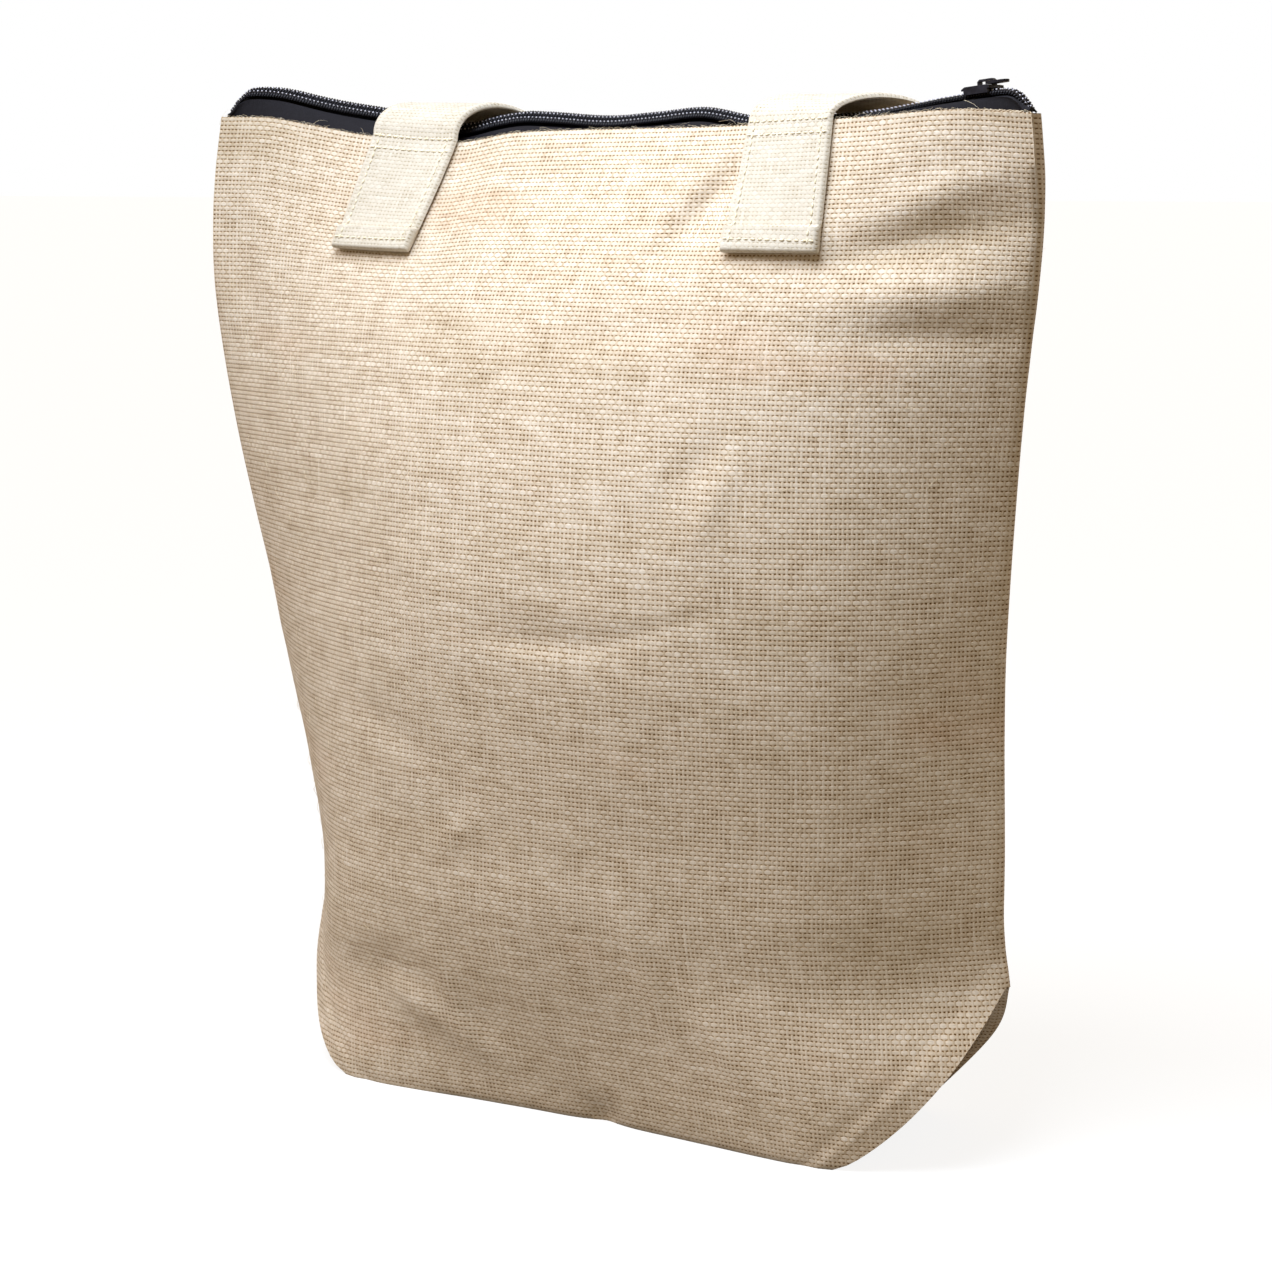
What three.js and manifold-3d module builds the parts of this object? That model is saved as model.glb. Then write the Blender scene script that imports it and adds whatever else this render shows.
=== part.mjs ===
// A jute tote bag with a zip along its mouth and two cotton webbing handles.
// The bag stands on the front and back folds of its half-opened base gusset.
// X runs along the bag's width, Y from front to back and Z up, in millimetres.
// The origin is on the floor, under the middle of the whole object's box.
import * as THREE from 'three';
import Module from 'manifold-3d';
import { mergeVertices } from 'three/addons/utils/BufferGeometryUtils.js';

// Driving sizes of the body cloth
const PANEL_WIDTH = 400;
const PANEL_HEIGHT = 446;
const GUSSET_DEPTH = 156;
const CLOTH = 1.8;
const HEM_THICKNESS = 2.8;
const HEM_HEIGHT = 24;
const SEAM_WIDTH = 5.6;
const MOUTH_WIDTH = 26;
const FOOT_WIDTH = 4;
const FOLD_SOFTNESS = 24;
const RIDGE_SAG = 15;
const CORNER_FULLNESS = 8;
const HEM_LINE_REACH = 110;
const MOUTH_SPREAD_REACH = 190;
const MOUTH_END_SHARE = 0.8;

// Driving sizes of the zip
const TAPE = 0.7;
const TAPE_TUCK = 11;
const TAPE_BULGE = 1;
const TAPE_REACH = 195;
const CHAIN_REACH = 197;
const CHAIN_WIDTH = 6.4;
const CHAIN_HEIGHT = 2.4;
const SLIDER_PLACE = 175;

// Driving sizes of the handles
const WEBBING_WIDTH = 42;
const WEBBING = 2.2;
const TAIL_LENGTH = 59;
const TURNED_END = 11;
const FRONT_LOOP = { skew: 26, drop: 178, height: 12.4 };
const BACK_LOOP = { skew: 0, drop: 198, height: 7 };
const FRONT_RISES = { left: 9, right: 10 };
const SEWN_HEIGHTS = { front: 1, back: 2.2 };
const BACK_RISES = { left: -3, right: 2.6 };

// Clear space between pieces that touch on the real bag
const GAP = 0.3;

// How far the whole moves so that the middle of its box is over the origin
const BOX_SHIFT = { x: 2.5, y: 4.4 };

// Grid of the cloth: columns across it, rows up the gusset part and up the rest
const COLUMNS = 26;
const GUSSET_ROWS = 8;
const PANEL_ROWS = 24;
const TAPE_COLUMNS = 48;
const CHAIN_STEPS = 56;

const HALF_WIDTH = PANEL_WIDTH / 2;
const HALF_GUSSET = GUSSET_DEPTH / 2;
const HALF_BASE = HALF_WIDTH - HALF_GUSSET;

// The front panel's level sections, from the floor up. `up` is the length of cloth above the bottom
// fold. The cloth turns by `turn` as a whole, bends evenly by `sweep` each way from its middle, and
// bends by `right` and `left` at two upright folds, `foldRight` and `foldLeft` from the middle. All
// bends are in degrees. `x` and `y` place the middle between the side seams.
const SECTIONS = [
  { up: 0, turn: 0, sweep: -12, right: 39, left: 41, foldRight: 122, foldLeft: 122, x: 1.5, y: -16.5 },
  { up: 40, turn: -1, sweep: 5.5, right: 18.5, left: 42, foldRight: 122, foldLeft: 122, x: 7, y: -10.5 },
  { up: 78, turn: 0.5, sweep: 21.5, right: 17, left: 42, foldRight: 122, foldLeft: 124, x: 6, y: 2 },
  { up: 112, turn: 0, sweep: 28, right: 15.5, left: 31, foldRight: 122, foldLeft: 118, x: 2.5, y: 1.5 },
  { up: 223, turn: -1.5, sweep: 38, right: 12, left: 4, foldRight: 122, foldLeft: 140, x: -3.5, y: -10 },
  { up: 334, turn: -3.5, sweep: 21.5, right: 10.5, left: -9.5, foldRight: 122, foldLeft: 165, x: -7, y: -22 },
  { up: 446, turn: -7.5, sweep: -19, right: 14, left: 0.5, foldRight: 122, foldLeft: 122, x: 0, y: -37 },
];

// The back panel's bulge as a share of the front's. Below nought the back follows the front.
const BACK_BULGE = [
  { up: 0, share: 0.75 },
  { up: 78, share: 0.8 },
  { up: 150, share: 0.9 },
  { up: 223, share: 0.9 },
  { up: 334, share: 0.6 },
  { up: 400, share: 0.1 },
  { up: 446, share: -1 },
];

// The hem's rise above or below level, and the zip's ridge above the hem, along the mouth
const HEM_LINE = [
  { along: -200, rise: 4.4 },
  { along: -176, rise: 3.8 },
  { along: -156, rise: 0.6 },
  { along: -125, rise: -4.4 },
  { along: -80, rise: -7.5 },
  { along: -50, rise: -3.5 },
  { along: 60, rise: -2 },
  { along: 125, rise: 0.5 },
  { along: 165, rise: 2.7 },
  { along: 200, rise: 1 },
];
const ZIP_LINE = [
  { along: -200, rise: 6 },
  { along: -190, rise: 11 },
  { along: -150, rise: 9.7 },
  { along: -124, rise: 9.5 },
  { along: -112, rise: 7 },
  { along: -88, rise: 5.8 },
  { along: -70, rise: 7.8 },
  { along: -45, rise: 6.2 },
  { along: -13, rise: 3.5 },
  { along: 11, rise: 4.5 },
  { along: 38, rise: 6 },
  { along: 66, rise: 1.5 },
  { along: 120, rise: 1 },
  { along: 162, rise: 4.1 },
  { along: 190, rise: 7.2 },
  { along: 200, rise: 4.5 },
];

// Dents and soft ridges of the front panel: their middle, their size along and across, how far the
// long side is turned from level, and how far the cloth stands out
const FRONT_FORMS = [
  { along: -95, up: 58, length: 20, width: 13, angle: 0, out: -7 },
  { along: -70, up: 44, length: 34, width: 9, angle: -28, out: 3.5 },
  { along: 58, up: 404, length: 24, width: 9, angle: 62, out: -2.5 },
  { along: 157, up: 392, length: 42, width: 12, angle: 13, out: -3 },
  { along: 160, up: 367, length: 40, width: 12, angle: 4, out: 2.5 },
  { along: 10, up: 224, length: 34, width: 9, angle: 0, out: -2 },
  { along: 12, up: 4, length: 12, width: 9, angle: 0, out: -2.5 },
  { along: -60, up: 300, length: 26, width: 70, angle: 0, out: 2 },
];

// Where the handles' tails are sewn, from the middle of the panel, and their lean in degrees
const TAILS = {
  left: { along: -101.5, lean: 5 },
  right: { along: 92, lean: -2 },
};

const JUTE = new THREE.MeshStandardMaterial({ color: 0xb99a6b, roughness: 0.95, metalness: 0 });
const COTTON = new THREE.MeshStandardMaterial({ color: 0xd9c7a0, roughness: 0.95, metalness: 0 });
const TAPE_CLOTH = new THREE.MeshStandardMaterial({ color: 0x16151a, roughness: 0.85, metalness: 0 });
const NYLON = new THREE.MeshStandardMaterial({ color: 0x1b1b20, roughness: 0.5, metalness: 0 });
const ENAMEL = new THREE.MeshStandardMaterial({ color: 0x1d1c22, roughness: 0.4, metalness: 0.3 });

const { clamp, degToRad, lerp, smoothstep } = THREE.MathUtils;

// One column of a table, read along a smooth curve through its rows
function readTable(rows, place, at, column) {
  let next = 1;
  while (next < rows.length - 1 && at > rows[next][place]) next += 1;
  const from = rows[next - 1];
  const to = rows[next];
  const before = rows[Math.max(next - 2, 0)];
  const after = rows[Math.min(next + 1, rows.length - 1)];
  const span = to[place] - from[place];
  const t = clamp((at - from[place]) / span, 0, 1);
  const leave = ((to[column] - before[column]) / (to[place] - before[place])) * span;
  const arrive = ((after[column] - from[column]) / (after[place] - from[place])) * span;
  const rise = to[column] - from[column];
  return from[column] + t * (leave + t * (3 * rise - 2 * leave - arrive + t * (leave + arrive - 2 * rise)));
}

const softStep = (x) => 0.5 + 0.5 * Math.tanh(x / FOLD_SOFTNESS);

// The front panel's level section at a height of cloth, walked along the cloth from seam to seam
const SECTION_STEPS = 100;
const sections = new Map();
function section(up) {
  if (sections.has(up)) return sections.get(up);
  const read = (column) => readTable(SECTIONS, 'up', up, column);
  const [turn, sweep, right, left] = ['turn', 'sweep', 'right', 'left'].map((name) => degToRad(read(name)));
  const foldRight = read('foldRight');
  const foldLeft = read('foldLeft');
  const bend = (along) =>
    turn + (sweep * along) / HALF_WIDTH + right * softStep(along - foldRight) - left * softStep(-along - foldLeft);
  const step = PANEL_WIDTH / SECTION_STEPS;
  const line = [new THREE.Vector2(0, 0)];
  for (let i = 0; i < SECTION_STEPS; i += 1) {
    const angle = bend((i + 0.5) * step - HALF_WIDTH);
    line.push(new THREE.Vector2(Math.cos(angle), Math.sin(angle)).multiplyScalar(step).add(line[i]));
  }
  const shift = line[0].clone().add(line[SECTION_STEPS]).multiplyScalar(-0.5);
  shift.add(new THREE.Vector2(read('x'), read('y')));
  line.forEach((point) => point.add(shift));
  sections.set(up, line);
  return line;
}

function sectionPoint(along, up) {
  const line = section(up);
  const place = clamp((along / PANEL_WIDTH + 0.5) * SECTION_STEPS, 0, SECTION_STEPS - 1e-6);
  const i = Math.floor(place);
  return line[i].clone().lerp(line[i + 1], place - i);
}

// Height over the floor of a level row of cloth: the cloth keeps its length while it leans
const HEIGHT_STEPS = 90;
const HEIGHTS = [0];
for (let i = 1; i <= HEIGHT_STEPS; i += 1) {
  const step = PANEL_HEIGHT / HEIGHT_STEPS;
  const lean = sectionPoint(0, i * step).distanceTo(sectionPoint(0, (i - 1) * step));
  HEIGHTS.push(HEIGHTS[i - 1] + Math.sqrt(step * step - lean * lean));
}

function heightAt(along, up) {
  const place = clamp((up / PANEL_HEIGHT) * HEIGHT_STEPS, 0, HEIGHT_STEPS - 1e-6);
  const i = Math.floor(place);
  const level = lerp(HEIGHTS[i], HEIGHTS[i + 1], place - i);
  const hem = readTable(HEM_LINE, 'along', along, 'rise');
  return level + hem * smoothstep(up, PANEL_HEIGHT - HEM_LINE_REACH, PANEL_HEIGHT);
}

function formsAt(along, up) {
  return FRONT_FORMS.reduce((sum, form) => {
    const away = new THREE.Vector2(along - form.along, up - form.up);
    away.rotateAround(new THREE.Vector2(), -degToRad(form.angle));
    return sum + form.out * Math.exp(-((away.x / form.length) ** 2) - (away.y / form.width) ** 2);
  }, 0);
}

// A point of the front panel's outer face
function front(along, up) {
  const point = sectionPoint(along, up);
  const ahead = sectionPoint(along + 1, up).sub(sectionPoint(along - 1, up)).normalize();
  const out = formsAt(along, up);
  return new THREE.Vector3(point.x + ahead.y * out, point.y - ahead.x * out, heightAt(along, up));
}

// A point of the back panel's outer face: the front's section mirrored in the line between the side
// seams. In the base part that line stays where the side seams end.
function back(along, up) {
  const seamUp = Math.max(up, HALF_GUSSET);
  const from = sectionPoint(-HALF_WIDTH, seamUp);
  const chord = sectionPoint(HALF_WIDTH, seamUp).sub(from).normalize();
  const point = sectionPoint(along, up);
  const foot = from.clone().addScaledVector(chord, point.clone().sub(from).dot(chord));
  const bulge = readTable(BACK_BULGE, 'up', up, 'share');
  const round = 1 - MOUTH_END_SHARE * (along / HALF_WIDTH) ** 4;
  const open = smoothstep(up, PANEL_HEIGHT - MOUTH_SPREAD_REACH, PANEL_HEIGHT) * round;
  const apart = SEAM_WIDTH + open * (MOUTH_WIDTH - SEAM_WIDTH);
  const place = foot.clone().add(foot.clone().sub(point).multiplyScalar(bulge));
  place.add(new THREE.Vector2(-chord.y, chord.x).multiplyScalar(apart));
  return new THREE.Vector3(place.x, place.y, heightAt(along, up));
}

// How firmly a point holds its place while the cloth around it gets its thickness
const STIFFNESS = 0.02;

// An open surface of shared points and triangles, each triangle anticlockwise from outside
class Surface {
  constructor() {
    this.points = [];
    this.triangles = [];
  }

  add(point) {
    this.points.push(point);
    return this.points.length - 1;
  }

  quad(a, b, c, d) {
    this.triangles.push([a, b, c], [a, c, d]);
  }

  // Rows of point numbers, faced towards the cross of along-the-row with row-to-row, or away from it
  grid(rows, reversed = false) {
    for (let i = 0; i < rows.length - 1; i += 1) {
      for (let j = 0; j < rows[i].length - 1; j += 1) {
        const corners = [rows[i][j], rows[i][j + 1], rows[i + 1][j + 1], rows[i + 1][j]];
        if (reversed) corners.reverse();
        this.quad(...corners);
      }
    }
  }

  // The step from each point that moves every face around it inwards by the thickness there. The
  // stiffness keeps it well set where all the faces lie in one plane.
  inwardSteps(thicknessAt) {
    const planes = this.points.map(() => []);
    this.triangles.forEach((corners) => {
      const [a, b, c] = corners.map((n) => this.points[n]);
      const normal = b.clone().sub(a).cross(c.clone().sub(a)).normalize();
      corners.forEach((n, k) => {
        const here = this.points[n];
        const one = this.points[corners[(k + 1) % 3]].clone().sub(here);
        const other = this.points[corners[(k + 2) % 3]].clone().sub(here);
        planes[n].push({ normal, weight: one.angleTo(other) });
      });
    });
    return planes.map((faces, n) => {
      const thickness = thicknessAt(n);
      const total = faces.reduce((sum, face) => sum + face.weight, 0);
      const m = new Array(9).fill(0);
      const pull = new THREE.Vector3();
      faces.forEach(({ normal, weight }) => {
        const v = normal.toArray();
        v.forEach((a, i) => v.forEach((b, j) => { m[3 * i + j] += (weight * a * b) / total; }));
        pull.addScaledVector(normal, (-weight * thickness) / total);
      });
      [0, 4, 8].forEach((i) => { m[i] += STIFFNESS; });
      const step = pull.applyMatrix3(new THREE.Matrix3().set(...m).invert());
      return step.multiplyScalar(1 + STIFFNESS).clampLength(0, 2 * thickness);
    });
  }

  // The closed sheet of the given thickness behind this surface
  thicken(thicknessAt) {
    const count = this.points.length;
    const steps = this.inwardSteps(thicknessAt);
    const points = [...this.points, ...this.points.map((point, n) => point.clone().add(steps[n]))];
    const triangles = [...this.triangles];
    this.triangles.forEach(([a, b, c]) => triangles.push([a + count, c + count, b + count]));
    const edges = new Set();
    const pairs = (t) => [[t[0], t[1]], [t[1], t[2]], [t[2], t[0]]];
    this.triangles.forEach((t) => pairs(t).forEach(([a, b]) => edges.add(`${a} ${b}`)));
    this.triangles.forEach((t) => pairs(t).forEach(([a, b]) => {
      if (!edges.has(`${b} ${a}`)) triangles.push([b, a, a + count], [b, a + count, b + count]);
    }));
    return solid(points, triangles);
  }
}

function solid(points, triangles) {
  const geometry = new THREE.BufferGeometry();
  const numbers = points.flatMap((point) => point.toArray());
  geometry.setAttribute('position', new THREE.Float32BufferAttribute(numbers, 3));
  geometry.setIndex(triangles.flat());
  return geometry;
}

// A closed solid through rings of equally many points, each ring anticlockwise seen from its start
function loft(rings) {
  const surface = new Surface();
  const numbers = rings.map((ring) => ring.map((point) => surface.add(point)));
  surface.grid(numbers.map((ring) => [...ring, ring[0]]));
  [numbers[0], numbers[numbers.length - 1]].forEach((ring, end) => {
    for (let i = 1; i < ring.length - 1; i += 1) {
      surface.triangles.push(end ? [ring[0], ring[i], ring[i + 1]] : [ring[0], ring[i + 1], ring[i]]);
    }
  });
  return solid(surface.points, surface.triangles);
}

// Cloth heights of the grid rows: even rows over the gusset part, then over the rest
const ROW_HEIGHTS = [];
for (let i = 0; i < GUSSET_ROWS; i += 1) ROW_HEIGHTS.push((HALF_GUSSET * i) / GUSSET_ROWS);
for (let i = 0; i <= PANEL_ROWS; i += 1) {
  ROW_HEIGHTS.push(lerp(HALF_GUSSET, PANEL_HEIGHT, i / PANEL_ROWS));
}

// The body cloth: two panels, two halves of the base gusset, and the narrow strips of the side
// seams, of the gusset's inner fold and of the two bottom folds that the bag stands on
function bodyCloth() {
  const surface = new Surface();
  const spots = Array.from({ length: COLUMNS + 1 }, (_, j) => (2 * j) / COLUMNS - 1);
  const reach = (up, fullness) => {
    const climb = Math.min(up / HALF_GUSSET, 1);
    return lerp(HALF_BASE, HALF_WIDTH, climb) + fullness * Math.sin(Math.PI * climb ** 0.6);
  };
  const panel = (face, fullness) =>
    ROW_HEIGHTS.map((up) => spots.map((s) => surface.add(face(s * reach(up, fullness), up))));
  const frontRows = panel(front, CORNER_FULLNESS);
  const backRows = panel(back, 0);

  // Half of the gusset, from its foot on the floor up to the inner fold, between the slanted seams
  const gussetHalf = (panelRows, inward) => {
    const rows = [];
    for (let i = 0; i <= GUSSET_ROWS; i += 1) {
      const edges = [panelRows[i][0], panelRows[i][COLUMNS]];
      const [left, right] = edges.map((n) => surface.points[n]);
      const climb = i / GUSSET_ROWS;
      rows.push(spots.map((s, j) => {
        if (i > 0 && Math.abs(s) === 1) return edges[(s + 1) / 2];
        const point = left.clone().lerp(right, (s + 1) / 2);
        const bottomLeft = surface.points[panelRows[0][0]];
        const bottomRight = surface.points[panelRows[0][COLUMNS]];
        const straight = bottomLeft.clone().lerp(bottomRight, (s + 1) / 2);
        const foot = surface.points[panelRows[0][j]].clone().sub(straight);
        foot.y += inward * FOOT_WIDTH;
        point.addScaledVector(foot, 1 - climb);
        point.z = Math.max(point.z - RIDGE_SAG * climb * (1 - s * s), 0);
        return surface.add(point);
      }));
    }
    return rows;
  };
  const frontGusset = gussetHalf(frontRows, 1);
  const backGusset = gussetHalf(backRows, -1);

  surface.grid(frontRows);
  surface.grid(backRows, true);
  surface.grid(frontGusset, true);
  surface.grid(backGusset);
  surface.grid([frontRows[0], frontGusset[0]], true);
  surface.grid([backRows[0], backGusset[0]]);
  surface.grid([frontGusset[GUSSET_ROWS], backGusset[GUSSET_ROWS]], true);
  const seamRows = ROW_HEIGHTS.map((_, i) => i).slice(GUSSET_ROWS);
  surface.grid(seamRows.map((i) => [frontRows[i][COLUMNS], backRows[i][COLUMNS]]));
  surface.grid(seamRows.map((i) => [frontRows[i][0], backRows[i][0]]), true);

  // The small triangles where a bottom fold meets its slanted seam
  const close = (a, b, c, reversed) => surface.triangles.push(reversed ? [a, c, b] : [a, b, c]);
  close(frontRows[0][COLUMNS], frontGusset[0][COLUMNS], frontRows[1][COLUMNS], false);
  close(frontRows[0][0], frontGusset[0][0], frontRows[1][0], true);
  close(backRows[0][COLUMNS], backGusset[0][COLUMNS], backRows[1][COLUMNS], true);
  close(backRows[0][0], backGusset[0][0], backRows[1][0], false);

  const inHem = (row) => ROW_HEIGHTS[row] > PANEL_HEIGHT - HEM_HEIGHT;
  const hemPoints = [frontRows, backRows].flatMap((rows) => rows.filter((_, row) => inHem(row)).flat());
  const hem = new Set(hemPoints);
  return surface.thicken((n) => (hem.has(n) ? HEM_THICKNESS : CLOTH));
}

// Level direction from the front hem to the back hem, and the middle of the mouth
function mouthAt(along) {
  const near = front(along, PANEL_HEIGHT);
  const far = back(along, PANEL_HEIGHT);
  const across = far.clone().sub(near);
  return { near, far, across: across.clone().normalize(), middle: near.clone().addScaledVector(across, 0.5) };
}

function zipRise(along) {
  return readTable(ZIP_LINE, 'along', along, 'rise');
}

// One zip tape, from inside its hem up to the teeth. `side` is -1 in front and 1 at the back.
function zipTape(side) {
  const surface = new Surface();
  const rows = [[], [], [], []];
  for (let j = 0; j <= TAPE_COLUMNS; j += 1) {
    const along = lerp(-TAPE_REACH, TAPE_REACH, j / TAPE_COLUMNS);
    const { across, middle } = mouthAt(along);
    const ridge = middle.clone().addScaledVector(across, side * (CHAIN_WIDTH / 2 + 2.6 * GAP));
    ridge.z += zipRise(along) - CHAIN_HEIGHT / 2;
    const inside = (up) => lifted(side < 0 ? front : back, along, up, -HEM_THICKNESS - 3 * GAP);
    const brim = inside(PANEL_HEIGHT);
    const slope = brim.clone().lerp(ridge, 0.5);
    slope.z += TAPE_BULGE;
    const tuck = inside(PANEL_HEIGHT - TAPE_TUCK);
    [tuck, brim, slope, ridge].forEach((point, i) => rows[i].push(surface.add(point)));
  }
  surface.grid(rows, side > 0);
  return surface.thicken(() => TAPE);
}

// The closed teeth: a low rounded band along the zip's ridge
function zipChain() {
  const rings = [];
  const outline = [[-0.5, 0], [-0.32, -0.5], [0.32, -0.5], [0.5, 0], [0.32, 0.5], [-0.32, 0.5]];
  for (let i = 0; i <= CHAIN_STEPS; i += 1) {
    const along = lerp(-CHAIN_REACH, CHAIN_REACH, i / CHAIN_STEPS);
    const { across, middle } = mouthAt(along);
    middle.z += zipRise(along);
    rings.push(outline.map(([y, z]) => {
      const point = middle.clone().addScaledVector(across, y * CHAIN_WIDTH);
      point.z += z * CHAIN_HEIGHT;
      return point;
    }));
  }
  return loft(rings);
}

const wasm = await Module();
wasm.setup();

// A closed geometry as a solid that can be joined to another
function toManifold(geometry) {
  const bare = geometry.clone();
  bare.deleteAttribute('normal');
  bare.deleteAttribute('uv');
  const merged = mergeVertices(bare);
  return new wasm.Manifold(new wasm.Mesh({
    numProp: 3,
    vertProperties: Float32Array.from(merged.attributes.position.array),
    triVerts: Uint32Array.from(merged.index.array),
  }));
}

function fromManifold(shape) {
  const mesh = shape.getMesh();
  const geometry = new THREE.BufferGeometry();
  geometry.setAttribute('position', new THREE.BufferAttribute(mesh.vertProperties, 3));
  geometry.setIndex(new THREE.BufferAttribute(mesh.triVerts, 1));
  return geometry;
}

// A plate with an outline in X and Z, as wide as given across Y
function plateAcross(outline, width, hole) {
  const shape = new THREE.Shape(outline.map(([x, z]) => new THREE.Vector2(x, z)));
  if (hole) shape.holes.push(new THREE.Path(hole.map(([x, z]) => new THREE.Vector2(x, z))));
  const plate = new THREE.ExtrudeGeometry(shape, { depth: width, bevelEnabled: false });
  return plate.translate(0, 0, -width / 2).rotateX(Math.PI / 2);
}

// Slider sizes: its roof, its wings over the teeth, the bridge on it, and the pull
const SLIDER_LENGTH = 13;
const SLIDER_WIDTH = CHAIN_WIDTH + 3;
const SLIDER_ROOF = 1.4;
const ROOF_SLOPE = 1.5;
const ROOF_NOSE = 0.6;
const WING = 1;
const WING_DROP = 1.6;
const WING_RISE = 0.4;
const BRIDGE_WIDTH = 2.2;
const BRIDGE_HEIGHT = 2.4;
const BRIDGE_START = -1.5;
const BRIDGE_END = 6.2;
const BRIDGE_BAR = 1;
const BRIDGE_BEAM = 0.8;
const PULL_PLATE = 1;
const PULL_RADIUS = 2.4;
const PULL_REACH = 6.5;
const PULL_WINDOW = { start: 1.2, end: 3.8, halfWidth: 1.5 };

// The slider's roof with a wing down each side, and the bridge that carries the pull
function zipSlider() {
  const half = SLIDER_LENGTH / 2;
  const roof = plateAcross(
    [
      [-half, 0],
      [half, 0],
      [half, SLIDER_ROOF - WING_RISE],
      [half - ROOF_SLOPE, SLIDER_ROOF],
      [ROOF_SLOPE - half, SLIDER_ROOF],
      [-half, ROOF_NOSE],
    ],
    SLIDER_WIDTH,
  );
  const wing = (side) => new THREE.BoxGeometry(SLIDER_LENGTH - 2 * WING, WING, WING_DROP + WING_RISE)
    .translate(0, (side * (SLIDER_WIDTH - WING)) / 2, (WING_RISE - WING_DROP) / 2);
  const top = SLIDER_ROOF + BRIDGE_HEIGHT;
  const shoulder = top - BRIDGE_BEAM;
  const [a, b, root] = [BRIDGE_START, BRIDGE_END, SLIDER_ROOF - WING_RISE];
  const [inA, inB] = [a + BRIDGE_BAR, b - BRIDGE_BAR];
  const bridge = plateAcross(
    [[a, root], [b, root], [b, shoulder], [inB, top], [inA, top], [a, shoulder]],
    BRIDGE_WIDTH,
    [[inA, SLIDER_ROOF], [inB, SLIDER_ROOF], [inB, shoulder], [inA, shoulder]],
  );
  return fromManifold(
    [wing(-1), wing(1), bridge].reduce((shape, piece) => shape.add(toManifold(piece)), toManifold(roof)),
  );
}

// The pull: a short plate whose end bar lies under the bridge, the bridge's foot in its window
function zipPull() {
  const { start, end, halfWidth } = PULL_WINDOW;
  const plate = new THREE.Shape();
  plate.moveTo(0, -PULL_RADIUS);
  plate.lineTo(PULL_REACH, -PULL_RADIUS);
  plate.absarc(PULL_REACH, 0, PULL_RADIUS, -Math.PI / 2, Math.PI / 2, false);
  plate.lineTo(0, PULL_RADIUS);
  const window = new THREE.Path();
  window.moveTo(start, -halfWidth);
  window.lineTo(start, halfWidth);
  window.lineTo(end, halfWidth);
  window.lineTo(end, -halfWidth);
  plate.holes.push(window);
  return new THREE.ExtrudeGeometry(plate, { depth: PULL_PLATE, bevelEnabled: false, curveSegments: 5 });
}

// The point at a height over a panel's outer face
function lifted(face, along, up, height) {
  const ahead = face(along + 2, up).sub(face(along - 2, up));
  const high = Math.min(up + 3, PANEL_HEIGHT);
  const out = ahead.cross(face(along, high).sub(face(along, high - 6))).normalize();
  return face(along, up).addScaledVector(out, face === front ? height : -height);
}

// A cross line of the webbing on a panel, about a middle and at right angles to a heading. `under`
// and `over` are the heights of its two faces over the panel.
const ACROSS = [-0.5, -0.17, 0.17, 0.5];
function crossLine(face, middle, heading, under, over) {
  const side = new THREE.Vector2(heading.y, -heading.x).normalize().multiplyScalar(WEBBING_WIDTH);
  const at = (height) =>
    ACROSS.map((s) => lifted(face, middle.x + s * side.x, middle.y + s * side.y, height));
  return { under: at(under), over: at(over) };
}

// A tail from its turned end up to the hem
function tailLines(face, tail) {
  const lean = Math.tan(degToRad(tail.lean));
  const sewn = face === front ? SEWN_HEIGHTS.front : SEWN_HEIGHTS.back;
  const stops = [0, TURNED_END, TURNED_END + 2, 24, 36, 48, TAIL_LENGTH];
  return stops.map((stop) => {
    const below = TAIL_LENGTH - stop;
    const middle = new THREE.Vector2(tail.along - below * lean, PANEL_HEIGHT - below);
    const layers = stop > TURNED_END ? 1 : 2;
    return crossLine(face, middle, new THREE.Vector2(lean, 1), sewn, sewn + layers * WEBBING);
  });
}

// The loop hanging on the back panel: down one side, round a half circle and up the other
function loopLines(from, to, drop, under, over) {
  const radius = (to - from) / 2;
  const centre = new THREE.Vector2((from + to) / 2, PANEL_HEIGHT - drop + radius);
  const straight = 4;
  const round = 16;
  const down = [];
  const up = [];
  for (let i = 0; i < straight; i += 1) {
    const height = lerp(PANEL_HEIGHT, centre.y, i / straight);
    down.push(crossLine(back, new THREE.Vector2(from, height), new THREE.Vector2(0, -1), under, over));
    up.unshift(crossLine(back, new THREE.Vector2(to, height), new THREE.Vector2(0, 1), under, over));
  }
  for (let i = 0; i <= round; i += 1) {
    const angle = Math.PI + (Math.PI * i) / round;
    const spoke = new THREE.Vector2(Math.cos(angle), Math.sin(angle));
    const middle = centre.clone().addScaledVector(spoke, radius);
    down.push(crossLine(back, middle, new THREE.Vector2(-spoke.y, spoke.x), under, over));
  }
  return [...down, ...up];
}

// The webbing's bend from one cross line to the next one, half an ellipse with the given tops
function bendLines(from, to, tops) {
  const lines = [];
  for (let i = 1; i < 8; i += 1) {
    const angle = (Math.PI * i) / 8;
    const line = {};
    ['under', 'over'].forEach((face) => {
      line[face] = from[face].map((start, k) => {
        const end = to[face][k];
        const point = start.clone().lerp(end, (1 - Math.cos(angle)) / 2);
        point.z += Math.sin(angle) * (tops[face] - (start.z + end.z) / 2);
        return point;
      });
    });
    lines.push(line);
  }
  return lines;
}

const sideways = ({ under, over }) => ({ under: [...under].reverse(), over: [...over].reverse() });
const turnedOver = ({ under, over }) => ({ under: over, over: under });

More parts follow.
